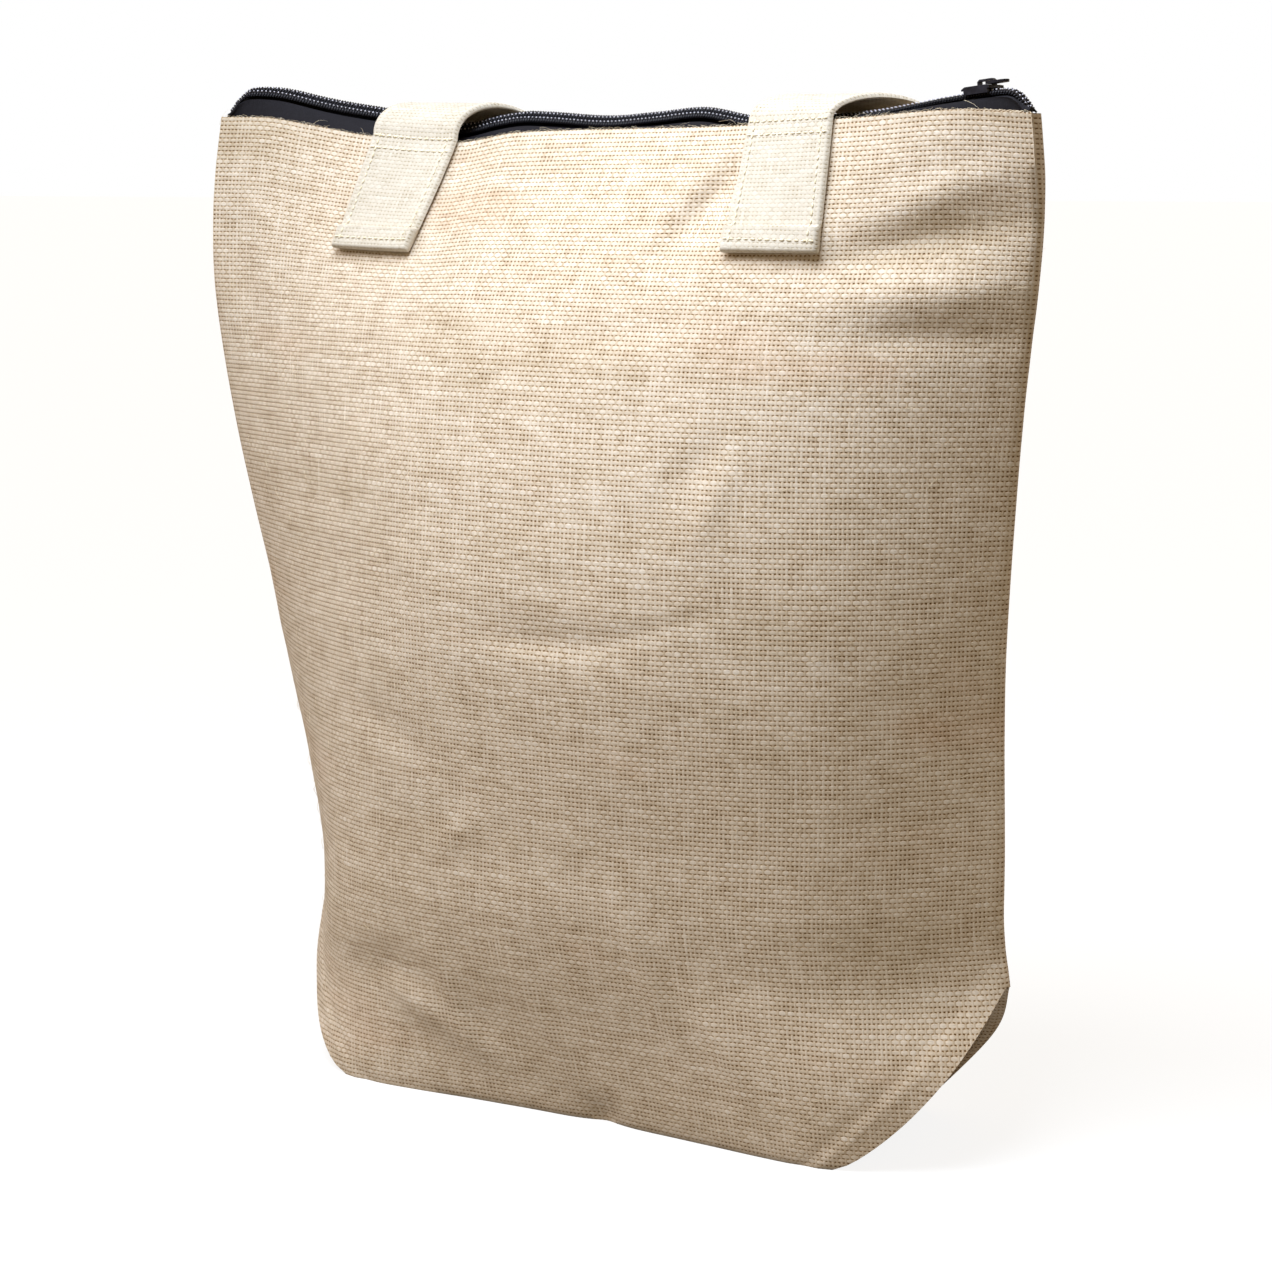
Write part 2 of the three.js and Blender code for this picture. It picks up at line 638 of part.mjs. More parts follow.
// A handle: tail, bend, loop, bend, tail. The front handle's bends pass over the mouth. The back
// handle's fold outwards, so that its loop shows the other face of the webbing.
function handle(face, loopAt, rises) {
  const { left, right } = TAILS;
  const { skew, drop, height } = loopAt;
  const first = tailLines(face, left);
  const last = tailLines(face, right).map(sideways).reverse();
  let loop = loopLines(left.along + skew, right.along + skew, drop, height, height + WEBBING).map(sideways);
  if (face === back) loop = loop.map(turnedOver);
  const tops = (rise) => {
    const top = HEIGHTS[HEIGHT_STEPS] + rise;
    return face === front ? { under: top - WEBBING, over: top } : { under: top, over: top - WEBBING };
  };
  const lines = [
    ...first,
    ...bendLines(first[first.length - 1], loop[0], tops(rises.left)),
    ...loop,
    ...bendLines(loop[loop.length - 1], last[0], tops(rises.right)),
    ...last,
  ];
  const rings = lines.map(({ under, over }) => [...over, ...[...under].reverse()]);
  return loft(face === front ? rings : rings.map((ring) => ring.reverse()));
}

const bag = new THREE.Group();
bag.position.set(BOX_SHIFT.x, BOX_SHIFT.y, 0);

function addPiece(name, geometry, material, parent = bag) {
  const mesh = new THREE.Mesh(geometry, material);
  mesh.name = name;
  parent.add(mesh);
  return mesh;
}

addPiece('bag_body', bodyCloth(), JUTE);
addPiece('zip_tape_front', zipTape(-1), TAPE_CLOTH);
addPiece('zip_tape_back', zipTape(1), TAPE_CLOTH);
addPiece('zip_chain', zipChain(), NYLON);

// The slider sits on the teeth near the right end, with the pull lying towards that end
const ridgePoint = (along) => {
  const point = mouthAt(along).middle;
  point.z += zipRise(along);
  return point;
};
const onward = ridgePoint(SLIDER_PLACE + 5).sub(ridgePoint(SLIDER_PLACE - 5)).normalize();
const across = new THREE.Vector3(0, 0, 1).cross(onward).normalize();
const upward = onward.clone().cross(across);
const slider = new THREE.Group();
slider.quaternion.setFromRotationMatrix(new THREE.Matrix4().makeBasis(onward, across, upward));
slider.position.copy(ridgePoint(SLIDER_PLACE)).addScaledVector(upward, CHAIN_HEIGHT / 2 + 2 * GAP);
bag.add(slider);
addPiece('zip_slider', zipSlider(), ENAMEL, slider);
const pull = addPiece('zip_pull', zipPull(), ENAMEL, slider);
pull.position.set(BRIDGE_END - 3, 0, SLIDER_ROOF + GAP);

addPiece('handle_front', handle(front, FRONT_LOOP, FRONT_RISES), COTTON);
addPiece('handle_back', handle(back, BACK_LOOP, BACK_RISES), COTTON);

export default bag;
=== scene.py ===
from math import pi, radians

import bpy
import numpy as np
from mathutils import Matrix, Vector


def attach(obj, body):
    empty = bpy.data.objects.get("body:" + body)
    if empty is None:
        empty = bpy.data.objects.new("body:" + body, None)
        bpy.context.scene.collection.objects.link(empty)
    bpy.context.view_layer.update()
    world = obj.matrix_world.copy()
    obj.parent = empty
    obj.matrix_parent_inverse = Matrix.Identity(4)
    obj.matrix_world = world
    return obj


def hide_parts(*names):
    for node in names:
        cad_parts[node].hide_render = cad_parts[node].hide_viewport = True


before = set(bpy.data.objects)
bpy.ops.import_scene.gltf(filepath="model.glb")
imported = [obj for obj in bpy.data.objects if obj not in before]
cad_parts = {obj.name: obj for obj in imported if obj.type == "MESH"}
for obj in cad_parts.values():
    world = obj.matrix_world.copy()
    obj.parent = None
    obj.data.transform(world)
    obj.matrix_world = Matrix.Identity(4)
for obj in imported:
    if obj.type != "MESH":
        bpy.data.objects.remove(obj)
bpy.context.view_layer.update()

bl_info = {
    "name": "Jute tote bag",
    "version": (1, 0, 0),
    "blender": (4, 5, 0),
    "location": "View3D > Sidebar > Tote bag",
    "description": "Woven cloth, webbing handles and a coil zip for a jute tote bag",
    "category": "Add Mesh",
}

METRES = 0.001
SEED = 11

# Sizes of the bag in millimetres. They follow the solids, but the side seams are pressed flatter
# here, and the zip's tapes run a little past the coil.
PANEL_WIDTH = 400.0
PANEL_HEIGHT = 446.0
GUSSET_DEPTH = 156.0
HALF_WIDTH = PANEL_WIDTH / 2
HALF_GUSSET = GUSSET_DEPTH / 2
HALF_BASE = HALF_WIDTH - HALF_GUSSET
CLOTH = 1.8
HEM_THICKNESS = 2.8
HEM_HEIGHT = 24.0
SEAM_WIDTH = 4.6
SEAM_BULGE = 0.9
FOOT_WIDTH = 4.0
FOLD_SOFTNESS = 24.0
RIDGE_SAG = 15.0
CORNER_FULLNESS = 8.0
GAP = 0.3

MOUTH_WIDTH = 26.0
HEM_LINE_REACH = 110.0
MOUTH_SPREAD_REACH = 190.0
MOUTH_END_SHARE = 0.8

TAPE = 0.7
TAPE_TUCK = 11.0
TAPE_REACH = 195.0
TAPE_END = 3.0
TAPE_BULGE = 1.0
TAPE_PATTERN_WIDTH = 24.0
CHAIN_REACH = 197.0
CHAIN_WIDTH = 6.4
CHAIN_HEIGHT = 2.4
# Both ends of the zip bend down in a round: where it starts, over what length and how far
ZIP_END_START = 187.0
ZIP_END_LENGTH = 10.0
ZIP_END_DROP = 4.5

WEBBING_WIDTH = 42.0
WEBBING = 2.2
TAIL_LENGTH = 59.0
TURNED_END = 11.0

# Thread spacings of the webbing and of the zip's tape
WEBBING_END_PITCH = 1.9
WEBBING_PICK_PITCH = 1.7
TAPE_PITCH = 0.9

# From the bag's own frame to the middle of its box on the floor
BOX_SHIFT = np.array([2.5, 4.4, 0.0])

# Into how many steps the cloth is divided
SECTION_STEPS = 100
HEIGHT_STEPS = 90
COLUMNS = 120
GUSSET_ROWS = 26
PANEL_ROWS = 98
TAPE_COLUMNS = 160
CHAIN_STEPS = 199

# Level sections of the front panel. Columns: up, turn, sweep, right, left, right fold, left fold,
# x, y. Bends are in degrees.
SECTIONS = (
    (0, 0, -12, 39, 41, 122, 122, 1.5, -16.5),
    (40, -1, 5.5, 18.5, 42, 122, 122, 7, -10.5),
    (78, 0.5, 21.5, 17, 42, 122, 124, 6, 2),
    (112, 0, 28, 15.5, 31, 122, 118, 2.5, 1.5),
    (223, -1.5, 38, 12, 4, 122, 140, -3.5, -10),
    (334, -3.5, 21.5, 10.5, -9.5, 122, 165, -7, -22),
    (446, -7.5, -19, 14, 0.5, 122, 122, 0, -37),
)
# Columns: up, share of the front's bulge that the back has
BACK_BULGE = ((0, 0.75), (78, 0.8), (150, 0.9), (223, 0.9), (334, 0.6), (400, 0.1), (446, -1))
# Columns: along, rise of the hem
HEM_LINE = (
    (-200, 4.4), (-176, 3.8), (-156, 0.6), (-125, -4.4), (-80, -7.5),
    (-50, -3.5), (60, -2), (125, 0.5), (165, 2.7), (200, 1),
)
# Columns: along, rise of the zip's ridge over the hem
ZIP_LINE = (
    (-200, 6), (-190, 11), (-150, 9.7), (-124, 9.5), (-112, 7), (-88, 5.8), (-70, 7.8), (-45, 6.2),
    (-13, 3.5), (11, 4.5), (38, 6), (66, 1.5), (120, 1), (162, 4.1), (190, 7.2), (200, 4.5),
)
# Columns: along, how far the zip leans towards the front in degrees
ZIP_LEAN = (
    (-200, 30), (-150, 46), (-90, 48), (0, 44), (60, 38), (100, 26), (130, 12), (155, 8), (200, 8),
)
# Dents and ridges. Columns: along, up, length, width, turn in degrees, how far out
FRONT_FORMS = (
    (-95, 58, 20, 13, 0, -7),
    (-70, 44, 34, 9, -28, 3.5),
    (58, 404, 24, 9, 62, -2.5),
    (157, 392, 42, 12, 13, -3),
    (160, 367, 40, 12, 4, 2.5),
    (10, 224, 34, 9, 0, -2),
    (12, 4, 12, 9, 0, -2.5),
    (-60, 300, 26, 70, 0, 2),
)
# Finer creases of the cloth in the same columns
FRONT_CREASES = (
    (56, 409, 21, 5, 60, -3.6),
    (46, 416, 18, 6, 60, 1.2),
    (-95, 58, 20, 13, 0, 2.5),
    (163, 412, 34, 7, 20, 1.5),
    (157, 392, 40, 6, 13, -1.3),
    (160, 371, 38, 7, 5, 1.2),
    (166, 352, 32, 6, 1, -2.0),
    (34, 350, 30, 7, 10, -1.2),
    (79, 281, 18, 5, 64, 1.4),
    (69, 294, 20, 6, 46, -1.2),
    (3, 221, 24, 2.5, 2, -1.4),
    (57, 231, 28, 3, 17, -1.1),
    (-67, 249, 12, 4, -38, 0.9),
    (-80, 175, 28, 8, -23, -1.4),
    (-42, 131, 16, 6, 33, 1.2),
    (-53, 53, 30, 5, -76, 2.2),
    (-8, 51, 27, 4.5, -70, 1.8),
    (50, 75, 34, 5, -71, 2.3),
    (79, 49, 28, 5, -64, 2.0),
    (-182, 375, 32, 9, -84, -2.2),
    (12, 3, 5, 6, 0, -1.6),
)
# Tails of the handles. Columns: along, lean in degrees
LEFT_TAIL = (-101.5, 5.0)
RIGHT_TAIL = (92.0, -2.0)
# Loops of the handles: how far they hang askew and down, their height over the back panel, the
# rise of their two bends over the hem, and the height that the tails are sewn on at
FRONT_LOOP = {"skew": 26.0, "drop": 178.0, "height": 12.4, "rises": (9.0, 10.0), "sewn": 1.0}
BACK_LOOP = {"skew": 0.0, "drop": 198.0, "height": 7.0, "rises": (-3.0, 2.6), "sewn": 2.2}
# The webbing's cross section: shares of its width, and its extra height at the thicker selvedges
ACROSS = np.array([-0.5, -0.485, -0.45, -0.41, -0.3, -0.15, 0.0, 0.15, 0.3, 0.41, 0.45, 0.485, 0.5])
SELVEDGE = np.array([-0.5, 0.05, 0.3, 0.0, 0.0, 0.0, 0.0, 0.0, 0.0, 0.0, 0.3, 0.05, -0.5])
# The rounded turned end of a tail. Columns: distance from the end, share of the full thickness
END_ROUND = np.array([(0, 0.55), (0.5, 0.83), (1.4, 0.96), (3, 1.0)])
# Outline of the coil's core. Columns: share of the chain's width, share of its height
CORE_OUTLINE = (
    (-0.44, -0.1), (-0.3, -0.42), (0.3, -0.42), (0.44, -0.1),
    (0.3, 0.2), (0.05, 0.1), (-0.05, 0.1), (-0.3, 0.2),
)
UPRIGHT = np.array([0.0, 0.0, 1.0])

# Lights. Columns: name, kind, place, target, angle or size, colour
LIGHTS = (
    ("daylight", "SUN", (-0.68, -0.5, 0.56), (0, 0, 0), radians(28), "#FBF9FF"),
    ("back_light", "SUN", (0.6, 0.9, 0.5), (0, 0, 0), radians(28), "#FBF9FF"),
    ("lamp", "AREA", (0.04, -0.33, 0.86), (0, 0, 0.4), 0.4, "#E0EDFF"),
)
FLOOR_REACH = 40.0
CAMERA_PLACE = (0.5119, -0.9576, 0.4063)
CAMERA_TILT, CAMERA_TURN = radians(79.63), radians(27.71)
CAMERA_LENS, CAMERA_SENSOR, CAMERA_NEAR = 71.12, 36.0, 0.05

MATH = "ShaderNodeMath"
NOISE = "ShaderNodeTexNoise"
RANGE = "ShaderNodeMapRange"
RAMP = "ShaderNodeValToRGB"
MIX = "ShaderNodeMix"
# The colour sockets of a Mix node, and its settings for a plain and for a multiplied mix of colours
COLOUR_A, COLOUR_B, COLOUR_OUT = 6, 7, 2
PLAIN = {"data_type": "RGBA"}
MULTIPLIED = {"data_type": "RGBA", "blend_type": "MULTIPLY"}


def read_table(rows, at, column=1):
    """One column of a table, read along a smooth curve through its rows."""
    rows = np.asarray(rows, float)
    at = np.asarray(at, float)
    places, values = rows[:, 0], rows[:, column]
    last = len(rows) - 1
    numbers = np.arange(last + 1)
    before, after = np.maximum(numbers - 1, 0), np.minimum(numbers + 1, last)
    slopes = (values[after] - values[before]) / (places[after] - places[before])
    k = np.clip(np.searchsorted(places, at) - 1, 0, last - 1)
    span = places[k + 1] - places[k]
    t = np.clip((at - places[k]) / span, 0, 1)
    leave, arrive = slopes[k] * span, slopes[k + 1] * span
    rise = values[k + 1] - values[k]
    return values[k] + t * (leave + t * (3 * rise - 2 * leave - arrive + t * (leave + arrive - 2 * rise)))


def smooth_step(at, low, high):
    """Rises in a soft curve from 0 at low to 1 at high."""
    t = np.clip((at - low) / (high - low), 0, 1)
    return t * t * (3 - 2 * t)


def soft_noise(along, up, cell, seed):
    """Smooth hills and hollows between -1 and 1, about one cell across."""
    steps = 64
    heights = np.random.default_rng(seed).uniform(-1, 1, (steps, steps))
    x, y = along / cell + steps / 2, up / cell + 3
    i, j = np.floor(x).astype(int), np.floor(y).astype(int)
    s, t = smooth_step(x - i, 0, 1), smooth_step(y - j, 0, 1)

    def corner(a, b):
        return heights[(i + a) % steps, (j + b) % steps]

    low = corner(0, 0) * (1 - s) + corner(1, 0) * s
    high = corner(0, 1) * (1 - s) + corner(1, 1) * s
    return low * (1 - t) + high * t


def unit(ways):
    """Directions brought to length 1."""
    return ways / np.linalg.norm(ways, axis=-1, keepdims=True)


def step_lengths(points):
    """Lengths of the steps from each point of a line to the next."""
    return np.linalg.norm(np.diff(points, axis=0), axis=1)


def matched(along, up):
    """Two measures on the cloth as arrays of one shape."""
    return np.broadcast_arrays(np.asarray(along, float), np.asarray(up, float))


def flat_grid(along, up):
    """Flat places of a grid, from its columns along the cloth and its rows up it."""
    return np.stack(np.broadcast_arrays(along[None, :], up[:, None]), -1)


def section_points(along, up):
    """Places on the level sections of the front panel, in millimetres."""
    along, up = matched(along, up)
    heights, which = np.unique(np.round(up.ravel(), 4), return_inverse=True)
    turn, sweep, right, left = (np.radians(read_table(SECTIONS, heights, c))[:, None] for c in range(1, 5))
    fold_right, fold_left = (read_table(SECTIONS, heights, c)[:, None] for c in (5, 6))
    step = PANEL_WIDTH / SECTION_STEPS
    middle = (np.arange(SECTION_STEPS) + 0.5) * step - HALF_WIDTH

    def folded(past):
        return 0.5 + 0.5 * np.tanh(past / FOLD_SOFTNESS)

    angle = turn + sweep * middle / HALF_WIDTH
    angle = angle + right * folded(middle - fold_right) - left * folded(-middle - fold_left)
    line = np.zeros((len(heights), SECTION_STEPS + 1, 2))
    line[:, 1:, 0] = np.cumsum(np.cos(angle), axis=1) * step
    line[:, 1:, 1] = np.cumsum(np.sin(angle), axis=1) * step
    line -= (line[:, :1] + line[:, -1:]) / 2
    line += np.stack([read_table(SECTIONS, heights, 7), read_table(SECTIONS, heights, 8)], -1)[:, None]
    place = np.clip((along.ravel() / PANEL_WIDTH + 0.5) * SECTION_STEPS, 0, SECTION_STEPS - 1e-6)
    i = np.floor(place).astype(int)
    part = (place - i)[:, None]
    points = line[which, i] * (1 - part) + line[which, i + 1] * part
    return points.reshape(along.shape + (2,))


# Where the panel leans, its height over the floor grows less than the cloth's length
LEVELS = np.linspace(0, PANEL_HEIGHT, HEIGHT_STEPS + 1)
LEANS = step_lengths(section_points(0, LEVELS))
HEIGHTS = np.concatenate([[0], np.cumsum(np.sqrt((PANEL_HEIGHT / HEIGHT_STEPS) ** 2 - LEANS**2))])


def height_at(along, up):
    """Height over the floor, with the wave of the hem near the mouth."""
    level = np.interp(up, LEVELS, HEIGHTS)
    return level + read_table(HEM_LINE, along) * smooth_step(up, PANEL_HEIGHT - HEM_LINE_REACH, PANEL_HEIGHT)


def forms_at(rows, along, up):
    """How far dents and ridges stand out at a place of the cloth."""
    out = 0
    for middle, height, length, width, turn, depth in rows:
        x, y, a = along - middle, up - height, radians(turn)
        lengthwise = (x * np.cos(a) + y * np.sin(a)) / length
        crosswise = (y * np.cos(a) - x * np.sin(a)) / width
        out = out + depth * np.exp(-(lengthwise**2) - crosswise**2)
    return out


def front(along, up, detail=0.0):
    """Points of the front panel's outer face. `detail` adds to how far it stands out."""
    along, up = matched(along, up)
    ahead = unit(section_points(along + 1, up) - section_points(along - 1, up))
    out = forms_at(FRONT_FORMS, along, up) + detail
    point = section_points(along, up)
    x, y = point[..., 0] + ahead[..., 1] * out, point[..., 1] - ahead[..., 0] * out
    return np.stack([x, y, height_at(along, up)], -1)


def back(along, up, detail=0.0):
    """Points of the back panel's outer face. `detail` adds to how far it stands out."""
    along, up = matched(along, up)
    seam_up = np.maximum(up, HALF_GUSSET)
    start = section_points(-HALF_WIDTH, seam_up)
    chord = unit(section_points(HALF_WIDTH, seam_up) - start)
    point = section_points(along, up)
    foot = start + chord * np.sum((point - start) * chord, -1, keepdims=True)
    bulge = read_table(BACK_BULGE, up)[..., None]
    spread = smooth_step(up, PANEL_HEIGHT - MOUTH_SPREAD_REACH, PANEL_HEIGHT)
    spread = spread * (1 - MOUTH_END_SHARE * (along / HALF_WIDTH) ** 4)
    apart = SEAM_WIDTH + spread * (MOUTH_WIDTH - SEAM_WIDTH) + detail
    outward = np.stack([-chord[..., 1], chord[..., 0]], -1)
    place = foot + (foot - point) * bulge + outward * apart[..., None]
    return np.concatenate([place, height_at(along, up)[..., None]], -1)


def lifted(face, along, up, height):
    """Points at a height over a panel's outer face."""
    ahead = face(along + 2, up) - face(along - 2, up)
    high = np.minimum(up + 3, PANEL_HEIGHT)
    out = unit(np.cross(ahead, face(along, high) - face(along, high - 6)))
    side = 1 if face is front else -1
    return face(along, up) + out * (side * np.asarray(height))[..., None]


class Sheet:
    """Rows of points joined into an open sheet, with each corner's place on the flat cloth."""

    def __init__(self):
        self.points = np.zeros((0, 3))
        self.quads, self.places, self.corners = [], [], []

    def add(self, points):
        """Takes points and gives back their numbers in the same rows."""
        start = len(self.points)
        self.points = np.vstack([self.points, points.reshape(-1, 3)])
        return np.arange(start, len(self.points)).reshape(points.shape[:-1])

    def grid(self, numbers, places, flip=False):
        """Joins rows of numbered points with four-sided faces."""
        here, after = slice(None, -1), slice(1, None)
        around = (here, here), (here, after), (after, after), (after, here)
        quads = np.stack([numbers[a] for a in around], -1).reshape(-1, 4)
        where = np.stack([places[a] for a in around], -2).reshape(-1, 4, 2)
        self.quads.append(quads[:, ::-1] if flip else quads)
        self.places.append(where[:, ::-1] if flip else where)

    def inward(self, thickness):
        """The step of each point that moves every face around it inwards by the thickness."""
        quads = np.vstack(self.quads)
        faces = [quads[:, [0, 1, 2]], quads[:, [0, 2, 3]]]
        if self.corners:
            faces.append(np.array(self.corners))
        faces = np.vstack(faces)
        p = self.points[faces]
        normal = np.cross(p[:, 1] - p[:, 0], p[:, 2] - p[:, 0])
        size = np.linalg.norm(normal, axis=1, keepdims=True)
        normal = normal / np.maximum(size, 1e-12)
        count = len(self.points)
        moment, pull, total = np.zeros((count, 3, 3)), np.zeros((count, 3)), np.full(count, 1e-9)
        for k in range(3):
            one = p[:, (k + 1) % 3] - p[:, k]
            other = p[:, (k + 2) % 3] - p[:, k]
            weight = np.arctan2(np.linalg.norm(np.cross(one, other), axis=1), np.sum(one * other, 1))
            np.add.at(moment, faces[:, k], weight[:, None, None] * normal[:, :, None] * normal[:, None, :])
            np.add.at(pull, faces[:, k], -weight[:, None] * normal)
            np.add.at(total, faces[:, k], weight)
        # A small stiffness keeps the step of a flat spot along its normal, and is made good after
        stiffness = 0.02
        moment = moment / total[:, None, None] + stiffness * np.eye(3)
        pull = pull / total[:, None] * thickness[:, None]
        step = (1 + stiffness) * np.linalg.solve(moment, pull[..., None])[..., 0]
        length = np.linalg.norm(step, axis=1)
        return step * np.minimum(1, 2 * thickness / np.maximum(length, 1e-9))[:, None]

    def closed(self, thickness):
        """Points, faces and flat places of the sheet with its inner face and its rims."""
        count = len(self.points)
        thickness = np.broadcast_to(np.asarray(thickness, float), (count,))
        points = np.vstack([self.points, self.points + self.inward(thickness)])
        quads, places = np.vstack(self.quads), np.vstack(self.places)
        edges = np.vstack([quads[:, [k, (k + 1) % 4]] for k in range(4)])
        where = np.vstack([places[:, [k, (k + 1) % 4]] for k in range(4)])
        known = {(int(a), int(b)) for a, b in edges}
        for a, b, c in self.corners:
            known |= {(a, b), (b, c), (c, a)}
        rim = np.array([(int(b), int(a)) not in known for a, b in edges])
        a, b = edges[rim].T
        faces = [quads, quads[:, ::-1] + count, np.stack([b, a, a + count, b + count], -1)]
        flat = [places, places[:, ::-1], where[rim][:, [1, 0, 0, 1]]]
        faces, flat = np.vstack(faces).tolist(), np.vstack(flat).reshape(-1, 2).tolist()
        for a, b, c in self.corners:
            faces += [[a, b, c], [c + count, b + count, a + count]]
            flat += [[0.0, 0.0], [1.0, 0.0], [0.0, 1.0]] * 2
        return points, faces, flat


def in_metres(points):
    """Points in millimetres of the bag's own frame, moved to the shared frame."""
    return ((np.asarray(points) + BOX_SHIFT) * METRES).tolist()


def add_object(name, data):
    """Adds a mesh, light or camera to the scene under a name."""
    piece = bpy.data.objects.new(name, data)
    bpy.context.scene.collection.objects.link(piece)
    return piece


def make_piece(name, points, faces, flat, material, sharp=50):
    """An object from points in millimetres, with its flat places as a UV map."""
    mesh = bpy.data.meshes.new(name)
    mesh.from_pydata(in_metres(points), [], faces)
    if flat is not None:
        layer = mesh.uv_layers.new(name="flat")
        layer.data.foreach_set("uv", (np.asarray(flat, float) * METRES).ravel())
    mesh.materials.append(material)
    mesh.shade_smooth()
    mesh.set_sharp_from_angle(angle=radians(sharp))
    return add_object(name, mesh)


def finish_piece(piece, slot, *nodes):
    """The piece rides with the bag and stands for its CAD nodes, which are hidden. The slot argument is not
    used.
    """
    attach(piece, "root")
    if nodes:
        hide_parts(*nodes)


def linear(code):
    """A hex colour as the linear numbers that Blender uses."""
    parts = [int(code[i:i + 2], 16) / 255 for i in (1, 3, 5)]
    return tuple(c / 12.92 if c <= 0.04045 else ((c + 0.055) / 1.055) ** 2.4 for c in parts) + (1.0,)


def set_stops(colours, stops):
    """Gives a colour ramp its stops, each a place and a hex colour."""
    while len(colours.elements) < len(stops):
        colours.elements.new(0.5)
    for element, (place, code) in zip(colours.elements, stops):
        element.position, element.color = place, linear(code)


def feed(tree, node, sources):
    """Sets or links a node's inputs, by name or by number."""
    for key, source in sources.items() if isinstance(sources, dict) else enumerate(sources):
        if isinstance(source, bpy.types.Node):
            source = source.outputs[0]
        if isinstance(source, bpy.types.NodeSocket):
            tree.links.new(source, node.inputs[key])
        else:
            node.inputs[key].default_value = source
    return node


def add(tree, kind, sources=(), **settings):
    """Adds a node with its settings, and sets or links its inputs."""
    node = tree.nodes.new(kind)
    for name, value in settings.items():
        if name == "stops":
            set_stops(node.color_ramp, value)
        else:
            setattr(node, name, value)
    return feed(tree, node, sources)


def new_material(name):
    """A material with its tree and its Principled shader."""
    material = bpy.data.materials.new(name)
    material.use_nodes = True
    tree = material.node_tree
    return material, tree, tree.nodes["Principled BSDF"]


def plain_weave(tree, end_pitch, pick_pitch, end_half, pick_half, rise):
    """A plain weave on the flat cloth. Its height runs from about -0.8 in the gaps to 1 + rise.
    Ends run up the cloth and picks across it, and a half is a share of the pitch."""
    flat = add(tree, "ShaderNodeUVMap", uv_map="flat")
    parts = add(tree, "ShaderNodeSeparateXYZ", (flat,))
    x = add(tree, MATH, (parts.outputs[0], end_pitch), operation="DIVIDE")
    y = add(tree, MATH, (parts.outputs[1], pick_pitch), operation="DIVIDE")
    column = add(tree, MATH, (x,), operation="FLOOR")
    row = add(tree, MATH, (y,), operation="FLOOR")
    # Each thread swells and thins along its length, apart from the threads beside it
    along_pick = add(tree, MATH, (x, 0.16), operation="MULTIPLY")
    pick_number = add(tree, MATH, (row, 5.37), operation="MULTIPLY")
    pick_place = add(tree, "ShaderNodeCombineXYZ", (along_pick, pick_number, 0.0))
    pick_noise = add(tree, NOISE, {"Vector": pick_place, "Scale": 1.0, "Detail": 2.0})
    along_end = add(tree, MATH, (y, 0.09), operation="MULTIPLY")
    end_number = add(tree, MATH, (column, 4.71), operation="MULTIPLY")
    end_place = add(tree, "ShaderNodeCombineXYZ", (end_number, along_end, 9.0))
    end_noise = add(tree, NOISE, {"Vector": end_place, "Scale": 1.0, "Detail": 2.0})
    pick_wide = add(tree, RANGE, (pick_noise, 0.25, 0.8, pick_half * 0.78, pick_half * 1.25))
    end_wide = add(tree, RANGE, (end_noise, 0.25, 0.8, end_half * 0.8, end_half * 1.22))

    # Picks, then ends: way along the thread, its number, way across it, its half width, the signs
    # that lift every second crossing, and how flat the thread is pressed
    heights = []
    for way, number, across, half, signs, flatness in (
        (x, row, y, pick_wide, (-4.0, 1.0), 1.8),
        (y, column, x, end_wide, (4.0, -1.0), 1.0),
    ):
        half_number = add(tree, MATH, (number, 0.5), operation="MULTIPLY")
        odd = add(tree, MATH, (half_number,), operation="FRACT")
        turn = add(tree, MATH, (odd, *signs), operation="MULTIPLY_ADD")
        angle = add(tree, MATH, (way, pi), operation="MULTIPLY")
        wave = add(tree, MATH, (angle,), operation="SINE")
        over = add(tree, MATH, (wave, turn), operation="MULTIPLY")
        part = add(tree, MATH, (across,), operation="FRACT")
        off = add(tree, MATH, (part, 0.5), operation="SUBTRACT")
        share = add(tree, MATH, (off, half), operation="DIVIDE")
        square = add(tree, MATH, (share, share), operation="MULTIPLY")
        drop = add(tree, MATH, (square, flatness), operation="POWER")
        round_top = add(tree, MATH, (1.0, drop), operation="SUBTRACT")
        heights.append(add(tree, MATH, (over, rise, round_top), operation="MULTIPLY_ADD"))
    pick_height, end_height = heights
    pick_over = add(tree, MATH, (pick_height, end_height), operation="GREATER_THAN")
    top = add(tree, MATH, (pick_height, end_height), operation="MAXIMUM")
    height = add(tree, MATH, (top, -0.8), operation="MAXIMUM")
    end_tone = add(tree, RANGE, (end_noise, 0.0, 1.0, 0.2, 0.75))
    pick_tone = add(tree, RANGE, (pick_noise, 0.0, 1.0, 0.2, 0.8))
    tone = add(tree, MIX, {"Factor": pick_over, "A": end_tone, "B": pick_tone})
    return {"flat": flat, "x": x, "y": y, "height": height, "pick_over": pick_over, "tone": tone}


def fibre_streaks(tree, weave):
    """Fine fibres that run along whichever thread is on top."""
    streaks = []
    for stretch in ((14.0, 1.6, 1.0), (1.6, 12.0, 1.0)):
        place = add(tree, "ShaderNodeCombineXYZ", (weave["x"], weave["y"], 0.0))
        scaled = add(tree, "ShaderNodeVectorMath", (place, stretch), operation="MULTIPLY")
        streaks.append(add(tree, NOISE, {"Vector": scaled, "Scale": 0.55, "Detail": 3.0}))
    return add(tree, MIX, {"Factor": weave["pick_over"], "A": streaks[0], "B": streaks[1]})


